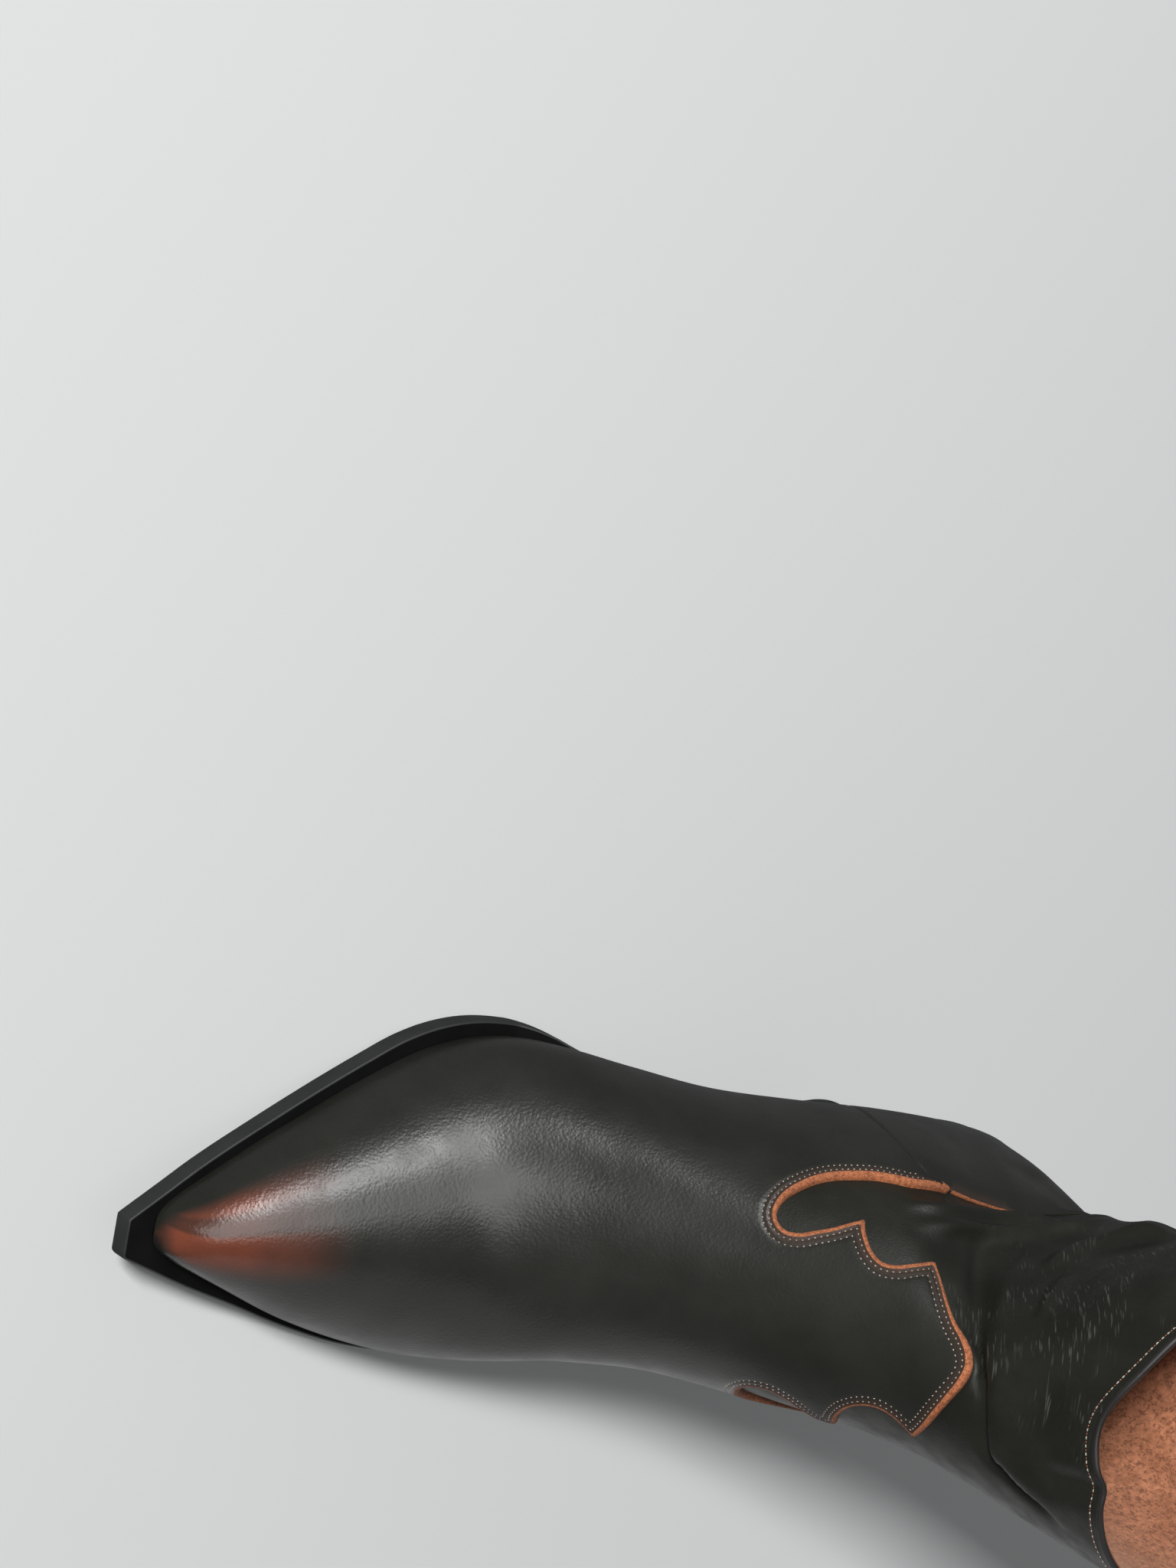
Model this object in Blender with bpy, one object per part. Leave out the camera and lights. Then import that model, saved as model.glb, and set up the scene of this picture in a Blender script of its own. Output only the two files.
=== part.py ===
"""Heeled western ankle boot, right foot, standing empty on its sole.

The shape comes from a last: a short table of sections that starts at the toe, climbs the instep, turns
round the heel and ends at the collar. The upper, the vamp, the counter, the insole and the collar binding all
follow it. X runs from heel to toe, Y to the left side and Z up. The tables are in millimetres, and MM turns
them to metres.
"""

import bmesh
import bpy
import numpy as np

MM = 0.001

# Driving sizes
SOLE_THICK = 6.0
GAP = 0.3
WALL = 2.0
OVERLAY_THICK = 1.8
INSOLE_THICK = 2.5
INSOLE_CLEARANCE = 1.8
LIFT_THICK = 6.0
BINDING_RADIUS = 1.9

# Underside of the sole: a flat tread, the toe spring in front of it and the arch behind it, as x and rise
TREAD_BACK = 160.0
TREAD_FRONT = 186.0
TOE_X = 285.6
TOE_SPRING = 10.4
SPRING_POWER = 1.5
ARCH = (
    (0, 53.5),
    (20, 52.0),
    (40, 49.0),
    (61, 43.0),
    (86, 32.5),
    (110, 20.5),
    (134, 9.0),
    (160, 0.0),
)

# Plan of the sole, from the corner of the snipped toe to where the heel starts to round, as x, left and right
SOLE_PLAN = (
    (285.6, 5.6, 3.6),
    (284.8, 6.7, 4.4),
    (275.0, 11.5, 9.4),
    (261.5, 18.0, 16.4),
    (244.0, 25.7, 24.3),
    (227.5, 33.2, 31.6),
    (211.5, 39.6, 38.4),
    (198.5, 43.8, 43.6),
    (186.0, 46.6, 46.6),
    (174.0, 47.2, 47.5),
    (161.0, 44.6, 46.2),
    (150.0, 40.6, 43.4),
    (134.0, 33.6, 36.6),
    (110.0, 28.6, 30.0),
    (86.0, 26.8, 27.6),
    (61.0, 27.2, 27.4),
    (41.0, 27.8, 27.6),
)
HEEL_CENTRE_X = 41.0
SOLE_HEEL_LENGTH = 43.0
INSOLE_HEEL_LENGTH = 34.0
INSOLE_TOE_X = 262.0

# Sections of the last. Each one lies in a plane through its back point, on the feather line or rise above it
# on the back seam, and its top point on the ridge or the front of the shaft. lean moves the top to the left.
# wide_at is where on the climb the section is widest, crown under 2 peaks it, and heel draws its back end to
# the width of the heel.
HEEL_HALF = 33.0
SECTION_COLUMNS = (
    "back_x", "rise", "top_x", "top_z", "lean",
    "feather_l", "feather_r", "wide_l", "wide_r", "wide_at", "crown", "heel",
)
SECTIONS = (
    (275.0, 0.0, 274.9, 15.5, 0.0, 0.0, 0.0, 0.0, 0.0, 0.20, 2.00, 0.0),
    (274.2, 0.0, 272.6, 20.6, 0.0, 3.2, 3.2, 3.5, 3.5, 0.20, 2.00, 0.0),
    (272.0, 0.0, 269.0, 24.2, 0.0, 5.4, 5.4, 5.8, 5.8, 0.20, 1.90, 0.0),
    (267.0, 0.0, 262.5, 27.6, 0.0, 8.6, 8.2, 9.2, 8.8, 0.20, 1.80, 0.0),
    (254.0, 0.0, 250.0, 31.8, 0.0, 15.0, 14.0, 15.8, 14.8, 0.20, 1.75, 0.0),
    (234.0, 0.0, 232.0, 37.2, 0.0, 24.4, 22.6, 25.4, 23.4, 0.20, 1.72, 0.0),
    (211.0, 0.0, 211.5, 42.8, 0.0, 33.2, 32.0, 34.2, 32.8, 0.20, 1.72, 0.0),
    (191.0, 0.0, 193.0, 49.0, 0.0, 38.4, 38.8, 39.4, 40.0, 0.21, 1.76, 0.0),
    (173.0, 0.0, 177.0, 60.5, 0.0, 38.8, 41.2, 40.0, 43.4, 0.23, 1.82, 0.0),
    (155.0, 0.0, 163.0, 74.5, 0.0, 35.0, 39.0, 37.2, 42.6, 0.26, 1.88, 0.0),
    (133.5, 0.0, 150.5, 89.5, 0.4, 28.8, 33.4, 34.6, 39.6, 0.30, 1.94, 0.0),
    (110.5, 0.0, 139.8, 103.5, 1.2, 25.6, 28.8, 34.8, 37.4, 0.33, 2.00, 0.0),
    (86.5, 0.0, 130.5, 115.5, 2.1, 24.6, 26.6, 37.0, 38.2, 0.34, 2.00, 0.0),
    (61.5, 0.0, 124.3, 124.0, 3.0, 25.2, 26.2, 38.8, 39.0, 0.35, 2.00, 0.1),
    (40.0, 0.0, 121.0, 130.0, 4.0, 25.8, 26.0, 40.0, 37.4, 0.38, 2.00, 0.4),
    (23.0, 0.0, 119.3, 135.0, 5.0, 23.0, 23.0, 40.2, 32.8, 0.42, 2.00, 0.75),
    (8.5, 0.0, 118.4, 139.0, 5.8, 15.2, 15.0, 39.8, 29.4, 0.46, 2.00, 0.85),
    (1.0, 0.0, 117.8, 142.7, 6.4, 0.0, 0.0, 39.6, 27.2, 0.50, 2.00, 0.7),
    (1.0, 16.5, 116.2, 149.5, 6.4, 0.0, 0.0, 39.6, 25.2, 0.50, 2.00, 0.1),
    (11.0, 40.5, 114.6, 157.3, 6.0, 0.0, 0.0, 40.2, 25.6, 0.50, 2.00, -0.6),
    (20.0, 66.5, 114.0, 165.1, 5.2, 0.0, 0.0, 40.8, 31.4, 0.50, 2.00, -0.9),
    (18.0, 92.5, 114.4, 173.5, 4.2, 0.0, 0.0, 42.6, 39.4, 0.50, 2.00, -0.4),
    (10.0, 118.0, 115.5, 182.0, 3.4, 0.0, 0.0, 44.8, 42.6, 0.50, 2.00, 0.0),
    (4.0, 140.0, 116.0, 192.0, 2.8, 0.0, 0.0, 47.0, 42.0, 0.50, 2.00, 0.0),
)
FIRST_CLOSED = 17
LAST_OVERLAY = 20
COLUMNS = 26
STEPS_PER_SECTION = 2
PROFILE_POINTS = 120

# Softening of the last where its sections turn round the heel
FINE_STEPS = 8
SOFT_FROM = 13.5
SOFT_TO = 20.5
SOFT_BLEND = 2.0
SOFT_EDGE = 0.07
SOFT_PASSES = 60

# Front dip of the collar line
COLLAR_DIP = 3.5
COLLAR_DIP_WIDTH = 0.05
COLLAR_FROM = 21

# Soft folds of the shaft, from one place (section, share of the way round) to another
FOLD_COLUMNS = ("from_section", "from_round", "to_section", "to_round", "height", "width")
FOLDS = (
    (18.9, 0.62, 18.9, 0.46, -2.2, 5.0),
    (18.9, 0.46, 21.2, 0.36, -2.2, 5.0),
    (20.2, 0.60, 20.2, 0.47, 1.6, 8.0),
)

# Side view of the vamp edge, from under the sole up the side seam, round the wing to the tip of the tongue.
# The rows are x, z and skew: how far the edge climbs on the left side and drops on the right one, at
# SKEW_REACH from the middle.
SKEW_REACH = 22.0
SIDE_SEAM = (
    (62.0, 26.0, 0.0),
    (71.5, 46.0, 0.0),
    (78.2, 62.0, 0.0),
    (84.2, 79.0, 0.0),
    (87.6, 99.5, 0.0),
)
WING_LOBE = (
    (87.6, 99.5, 0.0),
    (96.0, 98.4, 0.0),
    (109.0, 92.6, 0.0),
    (122.0, 89.0, 0.0),
    (131.5, 89.4, 0.0),
    (137.0, 91.4, 0.0),
    (138.0, 93.8, 0.0),
    (136.2, 97.2, 0.0),
    (130.6, 101.0, 0.0),
    (124.0, 103.8, 0.0),
    (116.5, 105.5, 0.5),
)
WING_BAY = (
    (116.5, 105.5, 0.5),
    (120.6, 109.5, 2.5),
    (122.2, 115.0, 4.0),
    (120.0, 120.6, 4.6),
    (115.6, 125.0, 5.0),
    (110.5, 128.3, 5.0),
)
WING_TONGUE = (
    (110.5, 128.3, 5.0),
    (113.2, 140.0, 2.5),
    (116.0, 146.5, 0.0),
    (122.0, 149.5, 0.0),
    (130.0, 151.0, 0.0),
)
COUNTER_TOP = (
    (87.6, 100.5, 0.0),
    (72.0, 102.6, 0.0),
    (46.0, 105.4, 0.0),
    (20.0, 109.0, 0.0),
    (-16.0, 111.4, 0.0),
)
EDGE_STEPS = 3
CUTTER_REACH = 80.0
CUTTER_FRONT_X = 300.0
CUTTER_BACK_X = -16.0
CUTTER_LOW_Z = -4.0

# Heel block, by share of its height
HEEL_COLUMNS = ("share", "back_x", "breast_x", "half_width")
HEEL_LEVELS = (
    (0.00, 9.6, 44.4, 14.6),
    (0.25, 8.2, 45.0, 15.0),
    (0.50, 6.2, 46.6, 16.4),
    (0.75, 3.4, 50.0, 19.4),
    (1.00, -0.6, 56.0, 25.2),
)
HEEL_ROUND_SHARE = 0.62
HEEL_ROUND_STEPS = 12
HEEL_BREAST_SHARE = 0.96

# Colour, roughness and metallic value of each material
FINISHES = {
    "sole_black": ((0.018, 0.018, 0.019), 0.55, 0.0),
    "heel_black": ((0.020, 0.019, 0.018), 0.45, 0.0),
    "rubber_black": ((0.015, 0.015, 0.015), 0.75, 0.0),
    "shaft_leather": ((0.026, 0.026, 0.024), 0.48, 0.0),
    "vamp_leather": ((0.030, 0.030, 0.028), 0.38, 0.0),
    "binding_leather": ((0.030, 0.026, 0.024), 0.42, 0.0),
    "insole_suede": ((0.390, 0.168, 0.091), 0.90, 0.0),
}


def smooth(places, knots, values):
    """A cubic curve through the values at the knots, held at its ends."""
    knots = np.asarray(knots, float)
    values = np.asarray(values, float)
    places = np.clip(np.asarray(places, float), knots[0], knots[-1])
    slopes = np.gradient(values, knots, axis=0)
    low = np.clip(np.searchsorted(knots, places, side="right") - 1, 0, len(knots) - 2)
    step = knots[low + 1] - knots[low]
    t = (places - knots[low]) / step
    if values.ndim == 2:
        t = t[..., None]
        step = step[..., None]
    near = (2 * t**3 - 3 * t**2 + 1) * values[low] + (t**3 - 2 * t**2 + t) * step * slopes[low]
    far = (3 * t**2 - 2 * t**3) * values[low + 1] + (t**3 - t**2) * step * slopes[low + 1]
    return near + far


def along(rows, steps):
    """Points of a smooth curve through the rows, with this many steps between two of them."""
    places = np.linspace(0, len(rows) - 1, (len(rows) - 1) * steps + 1)
    return smooth(places, np.arange(len(rows)), rows)


def underside(x):
    """Height of the sole's underside over the floor."""
    arch_x, arch_rise = np.array(ARCH).T
    front = np.clip(np.asarray(x, float) - TREAD_FRONT, 0, None) / (TOE_X - TREAD_FRONT)
    spring = TOE_SPRING * front**SPRING_POWER
    return np.where(np.asarray(x) > TREAD_BACK, spring, smooth(x, arch_x, arch_rise))


def sole_top(x):
    return underside(x) + SOLE_THICK


def feather(x):
    """Height of the line where the upper meets the sole."""
    return sole_top(x) + GAP


def ease(share):
    """Goes from 0 to 1 with level ends."""
    share = np.clip(share, 0, 1)
    return share**2 * (3 - 2 * share)


def half_section(edge, low, wide, wide_at, crown):
    """Share of the climb and half-width along one side of a section, from its back end to its top."""
    start = np.arcsin(edge / low) if edge else 0
    turn = np.linspace(start, np.pi / 2, PROFILE_POINTS)
    share = 1 - np.cos(turn) / np.cos(start)
    above = np.sin(np.linspace(0, np.pi / 2, PROFILE_POINTS))[1:]
    climb = np.concatenate([wide_at * share, wide_at + (1 - wide_at) * above])
    below_half = (low + (wide - low) * ease(share)) * np.sin(turn)
    above_half = wide * np.sqrt(np.clip(1 - above**crown, 0, None))
    return climb, np.concatenate([below_half, above_half])


def section_side(row, side, count):
    """Points at equal steps up one side of a section. side is 1 for the left and -1 for the right."""
    values = dict(zip(SECTION_COLUMNS, row))
    hand = "_l" if side > 0 else "_r"
    edge = max(values["feather" + hand], 0)
    wide = values["wide" + hand]
    low = wide + (HEEL_HALF - wide) * values["heel"]
    climb, half = half_section(edge, low, wide, values["wide_at"], values["crown"])
    back = np.array([values["back_x"], 0, feather(values["back_x"]) + max(values["rise"], 0)])
    top = np.array([values["top_x"], 0, values["top_z"]])
    height = np.linalg.norm(top - back)
    arc = np.concatenate([[0], np.cumsum(np.hypot(np.diff(climb) * height, np.diff(half)))])
    places = np.linspace(0, arc[-1], count)
    climb = np.interp(places, arc, climb)
    points = back + (top - back) * climb[:, None]
    points[:, 1] = side * np.interp(places, arc, half) + values["lean"] * ease(climb / values["wide_at"])
    return points


def last_grid(places, columns):
    """Points of the last, a row for each place in the table, from the left feather over to the right."""
    last = len(SECTIONS) - 1
    knots = np.linspace(0, last, last * FINE_STEPS + 1)
    half = columns // 2 + 1
    fine = np.array([
        np.vstack([section_side(row, 1, half), section_side(row, -1, half)[-2::-1]])
        for row in smooth(knots, np.arange(last + 1), SECTIONS)
    ])
    around = np.linspace(0, 1, columns + 1)
    soft = ease((knots - SOFT_FROM) / SOFT_BLEND) * ease((SOFT_TO - knots) / SOFT_BLEND)
    weight = 0.25 * soft[1:-1, None] * ease(np.minimum(around, 1 - around) / SOFT_EDGE)
    for _ in range(SOFT_PASSES):
        fine[1:-1] += weight[:, :, None] * (fine[2:] - 2 * fine[1:-1] + fine[:-2])
    dip = COLLAR_DIP * np.exp(-(((around - 0.5) / COLLAR_DIP_WIDTH) ** 2))
    fine[:, :, 2] -= np.clip((knots - COLLAR_FROM) / (last - COLLAR_FROM), 0, 1)[:, None] * dip
    return smooth(places, knots, fine.reshape(len(knots), -1)).reshape(len(places), columns + 1, 3)


def grid_normals(grid, closed_from):
    """Outward directions at the grid's points, shared along the back seam and at the toe's tip."""
    across = np.cross(grid[1:, 1:] - grid[:-1, :-1], grid[1:, :-1] - grid[:-1, 1:])
    normals = np.zeros_like(grid)
    for rows in (slice(None, -1), slice(1, None)):
        for columns in (slice(None, -1), slice(1, None)):
            normals[rows, columns] += across
    seam = normals[closed_from:, 0] + normals[closed_from:, -1]
    normals[closed_from:, 0] = seam
    normals[closed_from:, -1] = seam
    normals[0] = normals[0].sum(axis=0)
    normals /= np.linalg.norm(normals, axis=2, keepdims=True)
    ridge = normals[len(grid) // 2, grid.shape[1] // 2]
    return normals * np.sign(ridge[2])


def add_folds(grid, normals, places):
    """Raises and sinks the grid along the folds."""
    around = np.linspace(0, 1, grid.shape[1])
    lift = np.zeros(grid.shape[:2])
    for row in FOLDS:
        fold = dict(zip(FOLD_COLUMNS, row))
        sections = np.linspace(fold["from_section"], fold["to_section"], 9)
        rounds = np.linspace(fold["from_round"], fold["to_round"], 9)
        nearest_row = np.abs(places[:, None] - sections).argmin(axis=0)
        nearest_column = np.abs(around[:, None] - rounds).argmin(axis=0)
        line = grid[nearest_row, nearest_column]
        distance = np.linalg.norm(grid[:, :, None] - line, axis=3).min(axis=2)
        lift += fold["height"] * np.exp(-((distance / fold["width"]) ** 2))
    return grid + normals * lift[:, :, None]


def offset_grid(grid, normals, distance, closed_from):
    """The grid moved out by a distance, with its lower edges still on the feather line."""
    moved = grid + normals * distance
    for edge in (moved[: closed_from + 1, 0], moved[: closed_from + 1, -1], moved[0]):
        edge[:, 2] = feather(edge[:, 0])
    return moved


def make_material(name):
    colour, roughness, metallic = FINISHES[name]
    material = bpy.data.materials.new(name)
    material.use_nodes = True
    shader = material.node_tree.nodes["Principled BSDF"]
    shader.inputs["Base Color"].default_value = (*colour, 1)
    shader.inputs["Roughness"].default_value = roughness
    shader.inputs["Metallic"].default_value = metallic
    material.diffuse_color = (*colour, 1)
    return material


def make_object(name, points, faces, finish):
    """One object from points in millimetres, with its faces turned outwards."""
    mesh = bpy.data.meshes.new(name)
    work = bmesh.new()
    corners = [work.verts.new(point * MM) for point in np.asarray(points, float)]
    for face in faces:
        work.faces.new([corners[index] for index in face])
    loose = [vertex for vertex in work.verts if not vertex.link_faces]
    bmesh.ops.delete(work, geom=loose, context="VERTS")
    bmesh.ops.recalc_face_normals(work, faces=work.faces)
    work.to_mesh(mesh)
    work.free()
    mesh.materials.append(make_material(finish))
    mesh.shade_smooth()
    mesh.set_sharp_from_angle(angle=np.radians(40))
    made = bpy.data.objects.new(name, mesh)
    bpy.context.scene.collection.objects.link(made)
    return made


def grid_faces(index):
    """Triangles of a grid of point numbers, without those that have collapsed."""
    faces = []
    for i in range(index.shape[0] - 1):
        for j in range(index.shape[1] - 1):
            a, b = index[i, j], index[i + 1, j]
            c, d = index[i + 1, j + 1], index[i, j + 1]
            faces += [face for face in ((a, b, c), (a, c, d)) if len(set(face)) == 3]
    return faces


def make_shell(name, outer, inner, closed_from, finish):
    """A solid between two grids, closed round the feather line and along the last row."""
    rows, columns = outer.shape[:2]
    index = np.arange(rows * columns).reshape(rows, columns)
    index[closed_from:, -1] = index[closed_from:, 0]
    index[0] = index[0, 0]
    other = index + rows * columns
    faces = grid_faces(index) + grid_faces(other)
    faces += grid_faces(np.array([index[: closed_from + 1, 0], other[: closed_from + 1, 0]]))
    faces += grid_faces(np.array([index[: closed_from + 1, -1], other[: closed_from + 1, -1]]))
    faces += grid_faces(np.array([index[-1], other[-1]]))
    points = np.concatenate([outer.reshape(-1, 3), inner.reshape(-1, 3)])
    return make_object(name, points, faces, finish)


def make_plate(name, left, right, low, high, finish):
    """A plate whose plan has left and right edges at the same x, between two heights."""
    stations = len(left)
    loops = np.array([
        np.column_stack([edge[:, 0], edge[:, 1], height(edge[:, 0])])
        for edge, height in ((left, high), (right, high), (right, low), (left, low))
    ])
    index = np.arange(4 * stations).reshape(4, stations)
    faces = []
    for side in range(4):
        faces += grid_faces(np.array([index[side], index[(side + 1) % 4]]))
    faces += [tuple(index[:, 0]), tuple(index[:, -1])]
    return make_object(name, loops.reshape(-1, 3), faces, finish)


def heel_round(length, half, steps):
    """Quarter of an ellipse round the heel, from its widest place almost to the back, as x and half-width."""
    turn = np.linspace(np.pi / 2, 0.12, steps)[1:]
    return np.column_stack([HEEL_CENTRE_X - length * np.cos(turn), half * np.sin(turn)])


def sole_edge(column, side):
    """One edge of the sole's plan, from the toe to the back of the heel."""
    plan = np.array(SOLE_PLAN)[:, [0, column]]
    toe = plan[:1]
    flank = along(plan[1:], 3)
    back = heel_round(SOLE_HEEL_LENGTH, plan[-1, 1], 10)
    return np.vstack([toe, flank, back]) * (1, side)


def insole_edge(column, side):
    """One edge of the insole's plan, inside the wall of the upper."""
    table = np.array(SECTIONS)[:FIRST_CLOSED]
    back_x = table[:, SECTION_COLUMNS.index("back_x")]
    half = table[:, SECTION_COLUMNS.index(column)] - WALL - INSOLE_CLEARANCE
    x = np.linspace(INSOLE_TOE_X, HEEL_CENTRE_X, 28)
    flank = np.column_stack([x, smooth(x, back_x[::-1], half[::-1])])
    back = heel_round(INSOLE_HEEL_LENGTH, flank[-1, 1], 8)
    return np.vstack([flank, back]) * (1, side)


def make_sole():
    make_plate("outsole", sole_edge(1, 1), sole_edge(2, -1), underside, sole_top, "sole_black")


def make_insole():
    left = insole_edge("feather_l", 1)
    right = insole_edge("feather_r", -1)
    make_plate("insole", left, right, feather, lambda x: feather(x) + INSOLE_THICK, "insole_suede")


def heel_outline(level):
    """Plan of the heel at one level: a flat breast, straight sides and a round back."""
    values = dict(zip(HEEL_COLUMNS, level))
    length = values["breast_x"] - values["back_x"]
    round_x = values["back_x"] + HEEL_ROUND_SHARE * length
    turn = np.linspace(np.pi / 2, -np.pi / 2, 2 * HEEL_ROUND_STEPS + 1)
    x = round_x - HEEL_ROUND_SHARE * length * np.cos(turn)
    y = values["half_width"] * np.sin(turn)
    corner = HEEL_BREAST_SHARE * values["half_width"]
    breast = [(values["breast_x"], -corner), (values["breast_x"], corner)]
    return np.vstack([np.column_stack([x, y]), breast])


def make_stack(name, loops, finish):
    """A solid through loops of equal length, capped at both ends."""
    levels, count = loops.shape[:2]
    index = np.arange(levels * count).reshape(levels, count)
    faces = grid_faces(np.column_stack([index, index[:, 0]]))
    faces += [tuple(index[0]), tuple(index[-1])]
    return make_object(name, loops.reshape(-1, 3), faces, finish)


def make_heel():
    low = LIFT_THICK + GAP
    shares = np.linspace(0, 1, 9)
    table = np.array(HEEL_LEVELS)
    loops = []
    for share, level in zip(shares, smooth(shares, table[:, 0], table)):
        plan = heel_outline(level)
        seat = underside(plan[:, 0]) - GAP
        loops.append(np.column_stack([plan, low + (seat - low) * share]))
    make_stack("heel", np.array(loops), "heel_black")
    tip = heel_outline(HEEL_LEVELS[0])
    floor = np.column_stack([tip, np.zeros(len(tip))])
    make_stack("heel_lift", np.array([floor, floor + (0, 0, LIFT_THICK)]), "rubber_black")


def make_cutter(name, edge):
    """A prism across the boot with the given side view, skewed from right to left where the edge is."""
    sides = []
    for reach in (-CUTTER_REACH, CUTTER_REACH):
        height = edge[:, 1] + edge[:, 2] * reach / SKEW_REACH
        sides.append(np.column_stack([edge[:, 0], np.full(len(edge), reach), height]))
    cutter = make_stack(name, np.array(sides), "shaft_leather")
    cutter.hide_render = True
    cutter.display_type = "WIRE"
    return cutter


def keep_inside(piece, cutter):
    cut = piece.modifiers.new("edge", "BOOLEAN")
    cut.operation = "INTERSECT"
    cut.object = cutter


def vamp_outline():
    runs = [along(run, EDGE_STEPS)[:-1] for run in (SIDE_SEAM, WING_LOBE, WING_BAY)]
    front = [(CUTTER_FRONT_X, WING_TONGUE[-1][1], 0.0), (CUTTER_FRONT_X, CUTTER_LOW_Z, 0.0)]
    under = [(SIDE_SEAM[0][0], CUTTER_LOW_Z, 0.0)]
    return np.vstack(runs + [WING_TONGUE, front, under])


def counter_outline():
    seam = along(SIDE_SEAM, EDGE_STEPS) - (GAP, 0, 0)
    top = along(COUNTER_TOP, EDGE_STEPS) - (GAP, 0, 0)
    under = [(CUTTER_BACK_X, CUTTER_LOW_Z, 0.0), (SIDE_SEAM[0][0] - GAP, CUTTER_LOW_Z, 0.0)]
    return np.vstack([seam[:-1], top, under])


def make_upper():
    """The hollow upper, the vamp and counter over it, and the collar binding on its rim."""
    places = np.linspace(0, len(SECTIONS) - 1, (len(SECTIONS) - 1) * STEPS_PER_SECTION + 1)
    closed_from = FIRST_CLOSED * STEPS_PER_SECTION
    grid = last_grid(places, COLUMNS)
    grid = add_folds(grid, grid_normals(grid, closed_from), places)
    normals = grid_normals(grid, closed_from)
    inner = offset_grid(grid, normals, -WALL, closed_from)
    make_shell("upper", offset_grid(grid, normals, 0, closed_from), inner, closed_from, "shaft_leather")

    rows = slice(None, LAST_OVERLAY * STEPS_PER_SECTION + 1)
    near = offset_grid(grid, normals, GAP, closed_from)[rows]
    far = offset_grid(grid, normals, GAP + OVERLAY_THICK, closed_from)[rows]
    vamp = make_shell("vamp", far, near, closed_from, "vamp_leather")
    counter = make_shell("counter", far, near, closed_from, "vamp_leather")
    keep_inside(vamp, make_cutter("vamp_cutter", vamp_outline()))
    keep_inside(counter, make_cutter("counter_cutter", counter_outline()))

    rim = (grid[-1, :-1] + inner[-1, :-1]) / 2
    up = np.array([0, 0, 1.0])
    outward = normals[-1, :-1] - normals[-1, :-1] @ up[:, None] * up
    outward /= np.linalg.norm(outward, axis=1, keepdims=True)
    turns = np.linspace(0, 2 * np.pi, 8, endpoint=False)
    centre = rim + up * (BINDING_RADIUS + GAP)
    loops = np.array([
        centre + BINDING_RADIUS * (np.cos(turn) * outward + np.sin(turn) * up) for turn in turns
    ])
    index = np.arange(loops.shape[0] * loops.shape[1]).reshape(loops.shape[:2])
    ring = np.vstack([index, index[:1]])
    faces = grid_faces(np.column_stack([ring, ring[:, 0]]))
    make_object("collar_binding", loops.reshape(-1, 3), faces, "binding_leather")


def stand_on_origin():
    """Puts the middle of the boot's box over the origin, by one parent for all pieces."""
    bpy.context.view_layer.update()
    graph = bpy.context.evaluated_depsgraph_get()
    pieces = [piece for piece in bpy.context.scene.objects if piece.type == "MESH"]
    shown = [piece.evaluated_get(graph) for piece in pieces if not piece.hide_render]
    corners = np.array([corner[:] for piece in shown for corner in piece.bound_box])
    middle = (corners.min(axis=0) + corners.max(axis=0)) / 2
    boot = bpy.data.objects.new("boot", None)
    bpy.context.scene.collection.objects.link(boot)
    boot.location = (-middle[0], -middle[1], 0)
    for piece in pieces:
        piece.parent = boot


def main():
    for old in list(bpy.data.objects):
        bpy.data.objects.remove(old)
    make_sole()
    make_heel()
    make_insole()
    make_upper()
    stand_on_origin()


main()
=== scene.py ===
"""Looks of the heeled western ankle boot: leathers, raw edges, stitches, lining, sole and heel.

Every leather piece follows the same last as the solids: a short table of sections from the toe over the
instep and round the heel to the collar. X runs from heel to toe, Y to the left side and Z up. Tables are in
millimetres in the frame of the last, whose heel is near x = 0. to_world moves them to the row frame, in
metres.
"""

import bpy
import numpy as np
from mathutils import Matrix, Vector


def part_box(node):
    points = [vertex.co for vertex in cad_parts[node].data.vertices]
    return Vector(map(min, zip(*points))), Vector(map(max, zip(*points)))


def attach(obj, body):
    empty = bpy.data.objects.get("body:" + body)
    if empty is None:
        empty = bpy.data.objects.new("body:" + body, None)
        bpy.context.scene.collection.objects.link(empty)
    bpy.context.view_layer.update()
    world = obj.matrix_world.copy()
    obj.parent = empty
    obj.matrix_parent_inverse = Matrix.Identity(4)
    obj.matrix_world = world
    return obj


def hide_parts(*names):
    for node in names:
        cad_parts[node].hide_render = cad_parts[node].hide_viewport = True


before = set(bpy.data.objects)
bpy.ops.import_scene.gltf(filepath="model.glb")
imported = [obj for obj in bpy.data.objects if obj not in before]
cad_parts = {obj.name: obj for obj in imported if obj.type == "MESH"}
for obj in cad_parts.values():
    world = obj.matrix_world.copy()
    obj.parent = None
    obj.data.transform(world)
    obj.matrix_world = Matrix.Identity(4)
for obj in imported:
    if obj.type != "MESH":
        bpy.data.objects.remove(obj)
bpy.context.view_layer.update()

MM = 0.001

# Sole, heel and wall sizes
SOLE_THICK = 6.0
GAP = 0.3
WALL = 2.0
LEATHER = 1.1
OVERLAY_THICK = 1.8
SKIN_CLEARANCE = 0.05
INSOLE_THICK = 2.5
INSOLE_CLEARANCE = 1.8
INSOLE_FLARE = 1.1
LIFT_THICK = 6.0
TREAD_BACK = 160.0
TREAD_FRONT = 186.0
TOE_X = 285.6
TOE_SPRING = 10.4
SPRING_POWER = 1.5

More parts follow.
